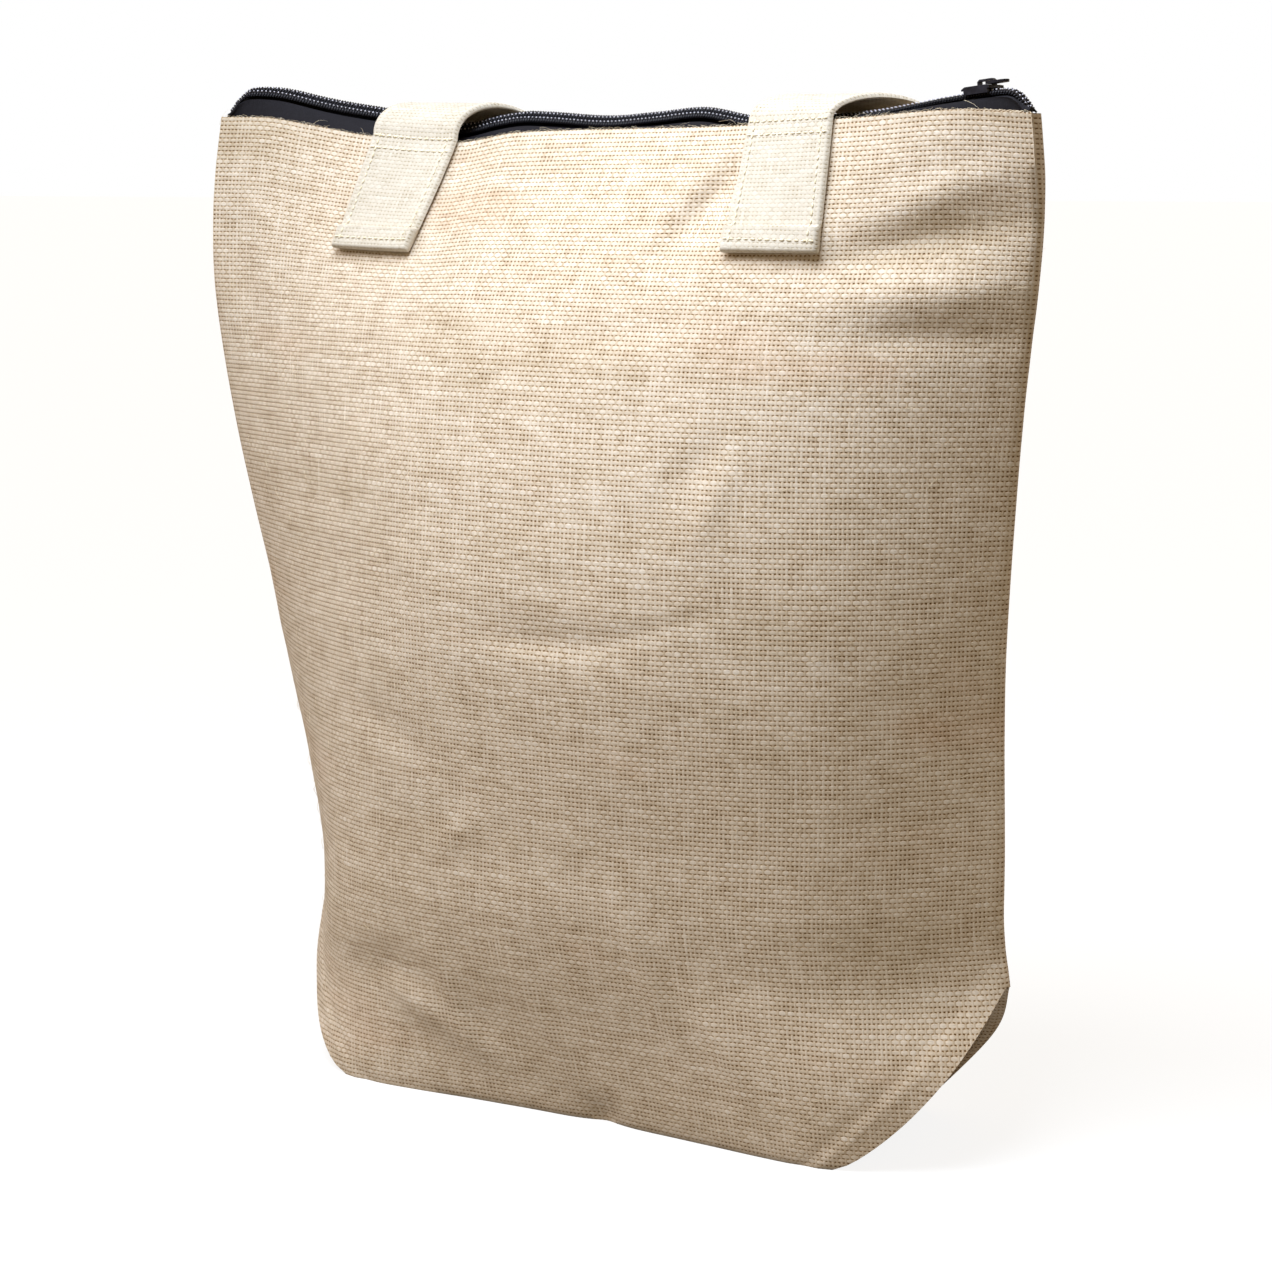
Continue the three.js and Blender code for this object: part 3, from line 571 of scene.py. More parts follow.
def shaded_threads(tree, weave, colour, fibres, fibre_shades, depths, painted_gap_shades):
    """The threads' colour, streaked by their fibres, with painted shade that darkens it towards the gaps
    between them.
    """
    streak = add(tree, RANGE, (fibres, 0.0, 1.0, *fibre_shades))
    # Painted shade: the lower the weave sits, the more the colour is darkened, as where shade falls between
    # threads
    depth = add(tree, RANGE, (weave["height"], *depths, 0.0, 1.0))
    gap = add(tree, RAMP, (depth,), stops=painted_gap_shades)
    for shade in (streak, gap):
        sources = {"Factor": 1.0, COLOUR_A: colour, COLOUR_B: shade}
        colour = add(tree, MIX, sources, **MULTIPLIED).outputs[COLOUR_OUT]
    return colour


def jute_cloth(settings):
    """Unbleached jute hessian in plain weave. Coarse dull yarn with loose fibres: a matt surface with light
    crowns, gaps between the threads darkened brown by painted shade, and slubs and tone changes along each
    thread."""
    material, tree, shader = new_material("unbleached jute hessian")
    weave = plain_weave(tree, settings.end_pitch, settings.pick_pitch, end_half=0.32, pick_half=0.43, rise=0.42)
    yarn = ((0.28, "#B49D7F"), (0.43, "#D1BFA6"), (0.58, "#E2D4C1"), (0.75, "#F0E7DB"))
    colour = add(tree, RAMP, (weave["tone"],), stops=yarn)
    # The picks show lighter than the ends
    picks = add(tree, MATH, (weave["pick_over"], 0.15), operation="MULTIPLY")
    sources = {"Factor": picks, COLOUR_A: colour, COLOUR_B: linear(settings.light)}
    colour = add(tree, MIX, sources, **PLAIN).outputs[COLOUR_OUT]
    # Wide soft patches of greyish and of pinkish brown, and bands of rows from one batch of yarn
    patches = ((0.3, "#D6D0C0"), (0.45, "#FFFFFF"), (0.58, "#FFFFFF"), (0.72, "#F3DAC8"))
    bands = ((0.35, "#D9CBB4"), (0.5, "#F4EEE4"), (0.65, "#FFFFFF"))
    for stretch, scale, share, stops in (
        ((0.7, 1.5, 1.0), 11.0, 0.4, patches),
        ((0.05, 1.0, 1.0), 150.0, 0.2, bands),
    ):
        place = add(tree, "ShaderNodeVectorMath", (weave["flat"], stretch), operation="MULTIPLY")
        cloud = add(tree, NOISE, {"Vector": place, "Scale": scale, "Detail": 4.0})
        tint = add(tree, RAMP, (cloud,), stops=stops)
        sources = {"Factor": share, COLOUR_A: colour, COLOUR_B: tint}
        colour = add(tree, MIX, sources, **MULTIPLIED).outputs[COLOUR_OUT]
    fibres = fibre_streaks(tree, weave)
    # Painted shade: the colour darkens towards the gaps between the threads, where shade falls
    gaps = ((0.0, settings.gap), (0.3, "#7C5F3D"), (0.6, "#D8C3A0"), (0.84, "#FFFFFF"))
    colour = shaded_threads(tree, weave, colour, fibres, (0.64, 1.3), (-0.8, 1.1), gaps)
    relief = add(tree, MATH, (fibres, 0.5, weave["height"]), operation="MULTIPLY_ADD")
    bump = add(tree, "ShaderNodeBump", {"Strength": 0.9, "Distance": settings.relief, "Height": relief})
    feed(tree, shader, {"Base Color": colour, "Normal": bump, "Roughness": 0.92,
                        "Specular IOR Level": 0.25, "Sheen Weight": 0.12})
    return material


def cotton_webbing():
    """Undyed cotton webbing. Soft matt yarn, packed tight: rows of small bumps with hardly a gap."""
    material, tree, shader = new_material("undyed cotton webbing")
    weave = plain_weave(tree, WEBBING_END_PITCH * METRES, WEBBING_PICK_PITCH * METRES,
                        end_half=0.4, pick_half=0.52, rise=0.4)
    yarn = ((0.25, "#B6AA94"), (0.45, "#CAC0AE"), (0.75, "#DAD2C4"))
    colour = add(tree, RAMP, (weave["tone"],), stops=yarn)
    fibres = fibre_streaks(tree, weave)
    # Painted shade: the narrow gaps between the threads are darkened, where shade falls
    gaps = ((0.0, "#94835F"), (0.4, "#DDD2BC"), (0.75, "#FFFFFF"))
    colour = shaded_threads(tree, weave, colour, fibres, (0.78, 1.2), (-0.3, 1.2), gaps)
    relief = add(tree, MATH, (fibres, 0.4, weave["height"]), operation="MULTIPLY_ADD")
    bump = add(tree, "ShaderNodeBump", {"Strength": 0.8, "Distance": 0.00016, "Height": relief})
    feed(tree, shader, {"Base Color": colour, "Normal": bump, "Roughness": 0.88,
                        "Specular IOR Level": 0.25, "Sheen Weight": 0.15})
    return material


def zip_tape_cloth(settings):
    """Black polyester tape, woven fine: a dark, slightly purple cloth with a faint rib and soft sheen.
    Its threads are drawn about twice as coarse as real ones, so that the rib shows."""
    material, tree, shader = new_material("woven polyester tape")
    pitch = TAPE_PITCH * METRES
    weave = plain_weave(tree, pitch, pitch, end_half=0.5, pick_half=0.5, rise=0.5)
    yarn = ((0.25, "#100F13"), (0.5, settings.tape_colour), (0.8, "#211F26"))
    colour = add(tree, RAMP, (weave["tone"],), stops=yarn)
    bump = add(tree, "ShaderNodeBump", {"Strength": 0.6, "Distance": 0.0002, "Height": weave["height"]})
    feed(tree, shader, {"Base Color": colour, "Normal": bump, "Roughness": 0.8, "Specular IOR Level": 0.25})
    return material


def satin(name, dark, light, roughness, scale):
    """A smooth dyed finish, lighter and rougher in faint clouds, as handling leaves it."""
    material, tree, shader = new_material(name)
    place = add(tree, "ShaderNodeTexCoord").outputs["Object"]
    cloud = add(tree, NOISE, {"Vector": place, "Scale": scale, "Detail": 4.0})
    colour = add(tree, RAMP, (cloud,), stops=((0.3, dark), (0.7, light)))
    rough = add(tree, RANGE, (cloud, 0.3, 0.7, roughness - 0.08, roughness + 0.1))
    bump = add(tree, "ShaderNodeBump", {"Strength": 0.25, "Distance": 0.0001, "Height": cloud})
    feed(tree, shader, {"Base Color": colour, "Roughness": rough, "Normal": bump, "Specular IOR Level": 0.3})
    return material


def repeat_tree(name, ground, spacing, turn):
    """A node tree that repeats a shape on its ground, and its inputs by name."""
    tree = bpy.data.node_groups.new(name, "GeometryNodeTree")
    for label, kind in (
        (ground, "Geometry"), ("Shape", "Object"), (spacing, "Float"), ("Unevenness", "Float"),
        (turn, "Float"), ("Seed", "Int"), ("Material", "Material"),
    ):
        tree.interface.new_socket(label, in_out="INPUT", socket_type=f"NodeSocket{kind}")
    tree.interface.new_socket("Mesh", in_out="OUTPUT", socket_type="NodeSocketGeometry")
    return tree, add(tree, "NodeGroupInput").outputs


def place_shapes(tree, given, points, rotation, least, most):
    """Puts the shape on points, each of its own size and turned between two limits, as a plain mesh."""
    shape = add(tree, "GeometryNodeObjectInfo", {"Object": given["Shape"]})
    low = add(tree, MATH, (1.0, given["Unevenness"]), operation="SUBTRACT")
    high = add(tree, MATH, (1.0, given["Unevenness"]), operation="ADD")
    size = add(tree, "FunctionNodeRandomValue", {2: low, 3: high, "Seed": given["Seed"]}, data_type="FLOAT")
    placed = add(tree, "GeometryNodeInstanceOnPoints", {
        "Points": points, "Instance": shape.outputs["Geometry"], "Rotation": rotation, "Scale": size.outputs[1],
    })
    limits = {0: add(tree, "ShaderNodeCombineXYZ", least), 1: add(tree, "ShaderNodeCombineXYZ", most)}
    spin = add(tree, "FunctionNodeRandomValue", {**limits, "Seed": given["Seed"]}, data_type="FLOAT_VECTOR")
    turned = add(tree, "GeometryNodeRotateInstances", {"Instances": placed, "Rotation": spin.outputs[0]})
    real = add(tree, "GeometryNodeRealizeInstances", {"Geometry": turned})
    smooth = add(tree, "GeometryNodeSetShadeSmooth", {"Geometry": real})
    painted = add(tree, "GeometryNodeSetMaterial", {"Geometry": smooth, "Material": given["Material"]})
    add(tree, "NodeGroupOutput", (painted,))
    return tree


def along_tree():
    """Repeats a shape along a line, its X along the line and its Z as the line faces."""
    tree, given = repeat_tree("shapes along a line", "Line", "Pitch", "Turn")
    curve = add(tree, "GeometryNodeMeshToCurve", {"Mesh": given["Line"]})
    spaced = add(tree, "GeometryNodeResampleCurve", {"Curve": curve, "Length": given["Pitch"]}, mode="LENGTH")
    tangent = add(tree, "GeometryNodeInputTangent")
    facing = add(tree, "GeometryNodeInputNamedAttribute", {"Name": "facing"}, data_type="FLOAT_VECTOR")
    ahead = add(tree, "FunctionNodeAlignRotationToVector", {"Vector": tangent}, axis="X")
    rotation = add(tree, "FunctionNodeAlignRotationToVector", {"Rotation": ahead, "Vector": facing},
                   axis="Z", pivot_axis="X")
    turn = given["Turn"]
    back_turn = add(tree, MATH, (turn, -1.0), operation="MULTIPLY")
    return place_shapes(tree, given, spaced, rotation, (back_turn,) * 3, (turn,) * 3)


def scatter_tree():
    """Strews a shape over a surface, turned every way along it."""
    tree, given = repeat_tree("shapes over a surface", "Surface", "Density", "Lift")
    points = add(tree, "GeometryNodeDistributePointsOnFaces", {
        "Mesh": given["Surface"], "Density": given["Density"], "Seed": given["Seed"],
    })
    lift = given["Lift"]
    down = add(tree, MATH, (lift, -1.0), operation="MULTIPLY")
    return place_shapes(tree, given, points.outputs["Points"], points.outputs["Rotation"],
                        (down, down, -pi), (lift, lift, pi))


def made_by_nodes(name, source, shape, tree, material, **values):
    """A plain mesh object that a node tree makes from a source and a shape, which are then removed."""
    modifier = source.modifiers.new(tree.name, "NODES")
    modifier.node_group = tree
    values |= {"Shape": shape, "Material": material}
    for item in tree.interface.items_tree:
        if item.in_out == "INPUT" and item.name in values:
            modifier[item.identifier] = values[item.name]
    bpy.context.view_layer.update()
    evaluated = source.evaluated_get(bpy.context.evaluated_depsgraph_get())
    mesh = bpy.data.meshes.new_from_object(evaluated)
    mesh.name = name
    bpy.data.objects.remove(source)
    bpy.data.objects.remove(shape)
    if not len(mesh.polygons):
        raise RuntimeError(f"{name} came out empty")
    return add_object(name, mesh)


def line_object(name, lines, facings):
    """Open lines of points in millimetres, each with the ways that it faces."""
    points, edges = [], []
    for line in lines:
        start = len(points)
        points += in_metres(line)
        edges += [(start + i, start + i + 1) for i in range(len(line) - 1)]
    mesh = bpy.data.meshes.new(name)
    mesh.from_pydata(points, edges, [])
    layer = mesh.attributes.new("facing", "FLOAT_VECTOR", "POINT")
    layer.data.foreach_set("vector", np.vstack(facings).ravel())
    return add_object(name, mesh)


def tube_faces(count, sides):
    """Faces of a closed tube through a count of rings, with a number of sides each."""
    faces = []
    for i in range(count - 1):
        for k in range(sides):
            a, b = i * sides + k, i * sides + (k + 1) % sides
            faces.append([a, a + sides, b + sides, b])
    return faces + [list(range(sides)), list(range((count - 1) * sides, count * sides))[::-1]]


def small_shape(name, points, sides):
    """A shape of a few dozen faces for the node trees, from rings of points in millimetres."""
    mesh = bpy.data.meshes.new(name)
    mesh.from_pydata((np.array(points) * METRES).tolist(), [], tube_faces(len(points) // sides, sides))
    return add_object(name, mesh)


def bead_shape(name, length, width, height, sides=6):
    """A rounded bead along X, in millimetres."""
    rings = 4
    points = []
    for angle in pi * (0.06 + 0.88 * np.arange(rings + 1) / rings):
        for turn in 2 * pi * np.arange(sides) / sides:
            points.append((-np.cos(angle) * length / 2, np.cos(turn) * np.sin(angle) * width / 2,
                           np.sin(turn) * np.sin(angle) * height / 2))
    return small_shape(name, points, sides)


def fibre_shape(name, length, thickness, arch):
    """A thin bent fibre that leaves the surface at its middle, in millimetres."""
    steps, sides = 5, 3
    points = []
    for t in np.arange(steps + 1) / steps:
        centre = np.array([length * (t - 0.5), 0.25 * length * np.sin(2.6 * t), arch * np.sin(pi * t) ** 2])
        for turn in 2 * pi * np.arange(sides) / sides:
            points.append(centre + thickness / 2 * (1.05 - 0.7 * t) * np.array([0, np.cos(turn), np.sin(turn)]))
    return small_shape(name, points, sides)


# Rows and columns of the panels' cloth: places up the panel, and shares of its half width
UPS = np.concatenate([
    np.linspace(0, HALF_GUSSET, GUSSET_ROWS, endpoint=False),
    np.linspace(HALF_GUSSET, PANEL_HEIGHT, PANEL_ROWS + 1),
])
SPOTS = np.linspace(-1, 1, COLUMNS + 1)


def half_reach(up):
    """Half of the panel's width, which grows from the base to the top of the slanted seams."""
    climb = np.minimum(up / HALF_GUSSET, 1)
    return HALF_BASE + (HALF_WIDTH - HALF_BASE) * climb


def inside_seam(along, up):
    """How far a place lies inside the lines of the slanted seams."""
    return (HALF_BASE + up - np.abs(along)) / np.sqrt(2)


def front_detail(along, up):
    """Fine relief of the front cloth: creases, the slanted seams' ridges and gentle unevenness."""
    out = forms_at(FRONT_CREASES, along, up) - 0.9 * np.exp(-((up / 3) ** 2))
    out = out + 0.5 * soft_noise(along, up, 46, SEED) + 0.25 * soft_noise(along, up * 1.4, 19, SEED + 1)
    inside = inside_seam(along, up)
    return out + 0.4 * np.exp(-(((inside - 4.5) / 2) ** 2)) - 0.45 * np.exp(-(((inside - 9.5) / 3) ** 2))


def back_detail(along, up):
    """Gentle unevenness of the back cloth, which fades towards the slanted seams."""
    out = 0.9 * soft_noise(along, up, 52, SEED + 2) + 0.35 * soft_noise(along, up * 1.4, 19, SEED + 3)
    return out * smooth_step(inside_seam(along, up), 0, 20)


def panel_rows(sheet, face, detail, fullness):
    """A panel's rows of points, from its bottom edge up to the hem, and their flat places."""
    climb = np.minimum(UPS / HALF_GUSSET, 1)
    reach = half_reach(UPS) + fullness * np.sin(pi * climb**0.6)
    along, up = matched(SPOTS[None, :] * reach[:, None], UPS[:, None])
    return sheet.add(face(along, up, detail(along, up))), np.stack([along, up], -1)


def gusset_rows(sheet, rows, inward):
    """Half of the gusset under a panel: rows of points from its foot up to the inner fold, joined to
    the panel at both ends, and their flat places."""
    ups = UPS[:GUSSET_ROWS + 1]
    share = (SPOTS[:, None] + 1) / 2
    bottom = sheet.points[rows[0]]
    foot = bottom - (bottom[0] * (1 - share) + bottom[-1] * share)
    foot[:, 1] += inward * FOOT_WIDTH
    numbers = []
    for i in range(GUSSET_ROWS + 1):
        climb = i / GUSSET_ROWS
        left, right = sheet.points[rows[i][0]], sheet.points[rows[i][-1]]
        points = left * (1 - share) + right * share + foot * (1 - climb)
        level = np.full(len(SPOTS), HALF_GUSSET * i / GUSSET_ROWS)
        ripple = 1 + 0.25 * soft_noise(SPOTS * 180 + inward * 40, level, 40, SEED + 4)
        points[:, 2] = np.maximum(points[:, 2] - RIDGE_SAG * climb * (1 - SPOTS**2) * ripple, 0)
        line = sheet.add(points)
        if i > 0:
            line[0], line[-1] = rows[i][0], rows[i][-1]
        numbers.append(line)
    along, down = matched(SPOTS[None, :] * (HALF_BASE + ups[:, None]), -FOOT_WIDTH - ups[:, None])
    return np.array(numbers), np.stack([along, down], -1)


def join_side_seams(sheet, front_rows, back_rows, shares):
    """The side seams' rounded strips. Gives the lowest cross line of each."""
    lowest = {}
    for end, inside, flip in ((-1, -3, False), (0, 2, True)):
        near, far = front_rows[GUSSET_ROWS:, end], back_rows[GUSSET_ROWS:, end]
        outward = unit(sheet.points[near] - sheet.points[front_rows[GUSSET_ROWS:, inside]])
        lines = [near]
        for share in shares:
            middle = sheet.points[near] * (1 - share) + sheet.points[far] * share
            lines.append(sheet.add(middle + outward * SEAM_BULGE))
        numbers = np.stack([*lines, far], -1)
        across = HALF_WIDTH + np.array([0, *shares, 1]) * SEAM_WIDTH
        sheet.grid(numbers, flat_grid(across, UPS[GUSSET_ROWS:]), flip=flip)
        lowest[end] = numbers[0]
    return lowest


def join_inner_fold(sheet, near, far, lowest, shares):
    """The strip along the gusset's inner fold, between the lowest cross lines of the side seams."""
    ridge = [near]
    for k, share in enumerate(shares):
        line = sheet.add(sheet.points[near] * (1 - share) + sheet.points[far] * share)
        line[0], line[-1] = lowest[0][k + 1], lowest[-1][k + 1]
        ridge.append(line)
    across = -FOOT_WIDTH - HALF_GUSSET - np.array([0, *shares, 1]) * SEAM_WIDTH
    sheet.grid(np.stack([*ridge, far]), flat_grid(SPOTS * HALF_WIDTH, across), flip=True)


def body_sheet():
    """The body cloth as one sheet: two panels, the base gusset and the narrow strips between them."""
    sheet = Sheet()
    front_rows, front_places = panel_rows(sheet, front, front_detail, CORNER_FULLNESS)
    back_rows, back_places = panel_rows(sheet, back, back_detail, 0)
    front_gusset, front_gusset_places = gusset_rows(sheet, front_rows, 1)
    back_gusset, back_gusset_places = gusset_rows(sheet, back_rows, -1)
    sheet.grid(front_rows, front_places)
    sheet.grid(back_rows, back_places, flip=True)
    sheet.grid(front_gusset, front_gusset_places, flip=True)
    sheet.grid(back_gusset, back_gusset_places)
    foot_places = np.stack([front_places[0], front_gusset_places[0]])
    sheet.grid(np.stack([front_rows[0], front_gusset[0]]), foot_places, flip=True)
    sheet.grid(np.stack([back_rows[0], back_gusset[0]]), foot_places)

    shares = (1 / 3, 2 / 3)
    lowest = join_side_seams(sheet, front_rows, back_rows, shares)
    join_inner_fold(sheet, front_gusset[-1], back_gusset[-1], lowest, shares)

    # A triangle closes each end of the two feet
    for rows, gusset, flip in ((front_rows, front_gusset, False), (back_rows, back_gusset, True)):
        for column, turned in ((COLUMNS, flip), (0, not flip)):
            corner = [int(rows[0][column]), int(gusset[0][column]), int(rows[1][column])]
            sheet.corners.append(corner[::-1] if turned else corner)

    thickness = np.full(len(sheet.points), CLOTH)
    hem = UPS > PANEL_HEIGHT - HEM_HEIGHT
    for rows in (front_rows, back_rows):
        thickness[rows[hem].ravel()] = HEM_THICKNESS
    return sheet, thickness


def cross_lines(face, middles, headings, under, over):
    """Cross lines of webbing on a panel: (line, side, point) with side 0 under and 1 over."""
    headings = unit(headings)
    side = np.stack([headings[:, 1], -headings[:, 0]], -1) * WEBBING_WIDTH
    along = middles[:, :1] + side[:, :1] * ACROSS
    up = middles[:, 1:] + side[:, 1:] * ACROSS
    under = np.broadcast_to(np.asarray(under, float), (len(middles),))[:, None] - SELVEDGE * 0.5
    over = np.broadcast_to(np.asarray(over, float), (len(middles),))[:, None] + SELVEDGE
    return np.stack([lifted(face, along, up, under), lifted(face, along, up, over)], 1)


def tail_lines(face, tail, sewn):
    """A sewn tail, from its turned end up to the hem."""
    stops = np.concatenate([
        END_ROUND[:, 0], np.linspace(5, TURNED_END - 1, 3), [TURNED_END, TURNED_END + 1.5],
        np.linspace(TURNED_END + 4, TAIL_LENGTH, 16),
    ])
    below = TAIL_LENGTH - stops
    middles = np.stack([tail[0] - below * np.tan(radians(tail[1])), PANEL_HEIGHT - below], -1)
    headings = np.tile([0.0, 1.0], (len(stops), 1))
    layers = np.where(stops <= TURNED_END, 2.0, 1.0)
    middle = sewn + layers * WEBBING / 2
    half = layers * WEBBING / 2 * np.interp(stops, *END_ROUND.T)
    return cross_lines(face, middles, headings, middle - half, middle + half)


def loop_lines(start, end, drop, height):
    """The loop that hangs on the back panel: down, round the bottom and up again."""
    radius = (end - start) / 2
    centre = np.array([(start + end) / 2, PANEL_HEIGHT - drop + radius])
    levels = np.linspace(PANEL_HEIGHT, centre[1], 18, endpoint=False)
    angles = pi + pi * np.arange(49) / 48
    spokes = np.stack([np.cos(angles), np.sin(angles)], -1)
    middles = np.vstack([
        np.stack([np.full(len(levels), start), levels], -1), centre + spokes * radius,
        np.stack([np.full(len(levels), end), levels[::-1]], -1),
    ])
    headings = np.vstack([
        np.tile([0.0, -1.0], (len(levels), 1)), np.stack([-spokes[:, 1], spokes[:, 0]], -1),
        np.tile([0.0, 1.0], (len(levels), 1)),
    ])
    sway = 0.5 * soft_noise(middles[:, 0], middles[:, 1], 40, SEED + 5)
    return cross_lines(back, middles, headings, height + sway, height + WEBBING + sway)


def bend_lines(start, end, tops):
    """The webbing's bend between two cross lines, half an ellipse with the given tops."""
    lines = []
    for angle in pi * np.arange(1, 20) / 20:
        share = (1 - np.cos(angle)) / 2
        line = start * (1 - share) + end * share
        for side in (0, 1):
            rim = SELVEDGE * (1 if side else -0.5)
            line[side, :, 2] += np.sin(angle) * (tops[side] + rim - (start[side, :, 2] + end[side, :, 2]) / 2)
        lines.append(line)
    return np.array(lines)


def handle_lines(face, loop):
    """All cross lines of a handle, from tail to tail, and how many of them a tail has."""
    first = tail_lines(face, LEFT_TAIL, loop["sewn"])
    last = tail_lines(face, RIGHT_TAIL, loop["sewn"])[::-1, :, ::-1]
    left, right = LEFT_TAIL[0] + loop["skew"], RIGHT_TAIL[0] + loop["skew"]
    hanging = loop_lines(left, right, loop["drop"], loop["height"])[:, :, ::-1]
    if face is back:
        hanging = hanging[:, ::-1]
    bends = []
    for (start, end), rise in zip(((first[-1], hanging[0]), (hanging[-1], last[0])), loop["rises"]):
        top = HEIGHTS[-1] + rise
        tops = (top - WEBBING, top) if face is front else (top, top - WEBBING)
        bends.append(bend_lines(start, end, tops))
    return np.concatenate([first, bends[0], hanging, bends[1], last]), len(first)


def middle_line(lines):
    """The line through the middle of the webbing."""
    return lines[:, :, len(ACROSS) // 2].mean(1)


def webbing_mesh(lines, face):
    """Points, faces and flat places of webbing through its cross lines."""
    rings = []
    for line in lines:
        far = (line[0, -1] + line[1, -1]) / 2 + (line[1, -1] - line[1, -2]) * 0.6
        near = (line[0, 0] + line[1, 0]) / 2 + (line[1, 0] - line[1, 1]) * 0.6
        rings.append(np.vstack([line[1], far[None], line[0][::-1], near[None]]))
    rings = np.array(rings)
    count, size = rings.shape[:2]
    length = np.concatenate([[0], np.cumsum(step_lengths(middle_line(lines)))])
    width = ACROSS * WEBBING_WIDTH
    around = np.concatenate([width, [width[-1] + 1], width[::-1] + 0.5, [width[0] - 1, width[0]]])
    corners = ((0, 0), (0, 1), (1, 1), (1, 0))
    if face is back:
        corners = corners[::-1]
    faces, flat = [], []
    for i in range(count - 1):
        for k in range(size):
            faces.append([(i + a) * size + (k + b) % size for a, b in corners])
            flat += [[around[k + b], length[i + a]] for a, b in corners]
    for i, turned in ((0, face is front), (count - 1, face is not front)):
        order = range(size)[::-1] if turned else range(size)
        faces.append([i * size + k for k in order])
        flat += [[around[k], length[i] + rings[i, k, 2] - rings[i, 0, 2]] for k in order]
    return rings.reshape(-1, 3), faces, flat


def stitch_rows(lines, tail, out):
    """Rows of stitches on both tails: two across near the hem, one across at the turned end and one
    along each edge."""
    rows = []
    for end in (lines[:tail], lines[-tail:][::-1]):
        top = end[:, 1]
        rows += [top[-1, 2:-2], top[-3, 2:-2], top[4, 2:-2], top[4:, 3], top[4:, -4]]
    return [row + out * 0.15 for row in rows]


def ridge_line(along):
    """The way across the zip, the way that its face looks, and its ridge."""
    near, far = front(along, PANEL_HEIGHT), back(along, PANEL_HEIGHT)
    level = unit(far - near)
    ridge = (near + far) / 2
    ridge[:, 2] += read_table(ZIP_LINE, along)
    ridge[:, 2] -= ZIP_END_DROP * np.clip((np.abs(along) - ZIP_END_START) / ZIP_END_LENGTH, 0, 1) ** 2
    lean = np.radians(read_table(ZIP_LEAN, along))[:, None]
    return level * np.cos(lean) + UPRIGHT * np.sin(lean), UPRIGHT * np.cos(lean) - level * np.sin(lean), ridge


def tape_sheet(face, side):
    """A tape of the zip, from its tuck inside the hem up to the coil."""
    along = np.linspace(-TAPE_REACH - TAPE_END, TAPE_REACH + TAPE_END, TAPE_COLUMNS + 1)
    across, facing, ridge = ridge_line(along)
    top = ridge + across * side * (CHAIN_WIDTH / 2 + 2.6 * GAP) - facing * CHAIN_HEIGHT / 2

    def inside(up):
        depth = np.full(len(along), -HEM_THICKNESS - 3 * GAP)
        return lifted(face, along, np.full(len(along), up), depth)

    brim, tuck = inside(PANEL_HEIGHT), inside(PANEL_HEIGHT - TAPE_TUCK)
    rows = [tuck, (tuck + brim) / 2, brim]
    for share in (0.25, 0.5, 0.75):
        slope = brim * (1 - share) + top * share
        slope[:, 2] += TAPE_BULGE * 4 * share * (1 - share)
        rows.append(slope)
    rows = np.array([*rows, top])
    places = flat_grid(along, np.linspace(0, TAPE_PATTERN_WIDTH, len(rows)))
    sheet = Sheet()
    sheet.grid(sheet.add(rows), places, flip=side > 0)
    return sheet.closed(TAPE)


def core_mesh(across, facing, ridge):
    """Points and faces of the coil's low core."""
    rings = np.stack([
        ridge + across * (y * CHAIN_WIDTH) + facing * (z * CHAIN_HEIGHT) for y, z in CORE_OUTLINE
    ], 1)
    faces = [face[::-1] for face in tube_faces(*rings.shape[:2])]
    return rings.reshape(-1, 3), faces


class ClothSettings(bpy.types.PropertyGroup):
    end_pitch: bpy.props.FloatProperty(
        name="End pitch", description="Distance between upright threads", default=0.001844,
        unit="LENGTH", precision=5)
    pick_pitch: bpy.props.FloatProperty(
        name="Pick pitch", description="Distance between level threads", default=0.002055,
        unit="LENGTH", precision=5)
    relief: bpy.props.FloatProperty(
        name="Thread relief", description="Height of a thread's rise in the bump", default=0.00015,
        unit="LENGTH", precision=5)
    light: bpy.props.StringProperty(
        name="Light thread", description="Hex colour of the palest jute", default="#F3E9DA")
    # Painted shade: the dark brown that the gaps between threads are darkened towards
    gap: bpy.props.StringProperty(
        name="Gap", description="Hex colour that the gaps between threads are darkened by",
        default="#5E452B")


class HandleSettings(bpy.types.PropertyGroup):
    stitch_pitch: bpy.props.FloatProperty(
        name="Stitch pitch", description="Distance between stitches", default=0.003,
        unit="LENGTH", precision=5)
    thread: bpy.props.StringProperty(
        name="Thread", description="Hex colour of the sewing thread", default="#F1E7CF")


class ZipSettings(bpy.types.PropertyGroup):
    tooth_pitch: bpy.props.FloatProperty(
        name="Tooth pitch", description="Distance between the coil's turns", default=0.0013,
        unit="LENGTH", precision=5)
    tape_colour: bpy.props.StringProperty(
        name="Tape", description="Hex colour of the zip's tape", default="#17151A")


class StageSettings(bpy.types.PropertyGroup):
    key: bpy.props.FloatProperty(
        name="Daylight", description="Strength of the soft main light", default=1.55)
    fill: bpy.props.FloatProperty(
        name="Lamp", description="Power of the soft lamp near the top", default=6.6, unit="POWER")
    sky: bpy.props.FloatProperty(
        name="Sky", description="Strength of the even warm light", default=0.28)


class TOTE_OT_body(bpy.types.Operator):
    """Make the jute body with its woven cloth"""
    bl_idname = "tote.body"
    bl_label = "Jute body"

    def execute(self, context):
        sheet, thickness = body_sheet()
        material = jute_cloth(context.scene.tote_cloth)
        body = make_piece("jute_body", *sheet.closed(thickness), material, sharp=72)
        finish_piece(body, "jute", "bag_body")
        return {"FINISHED"}


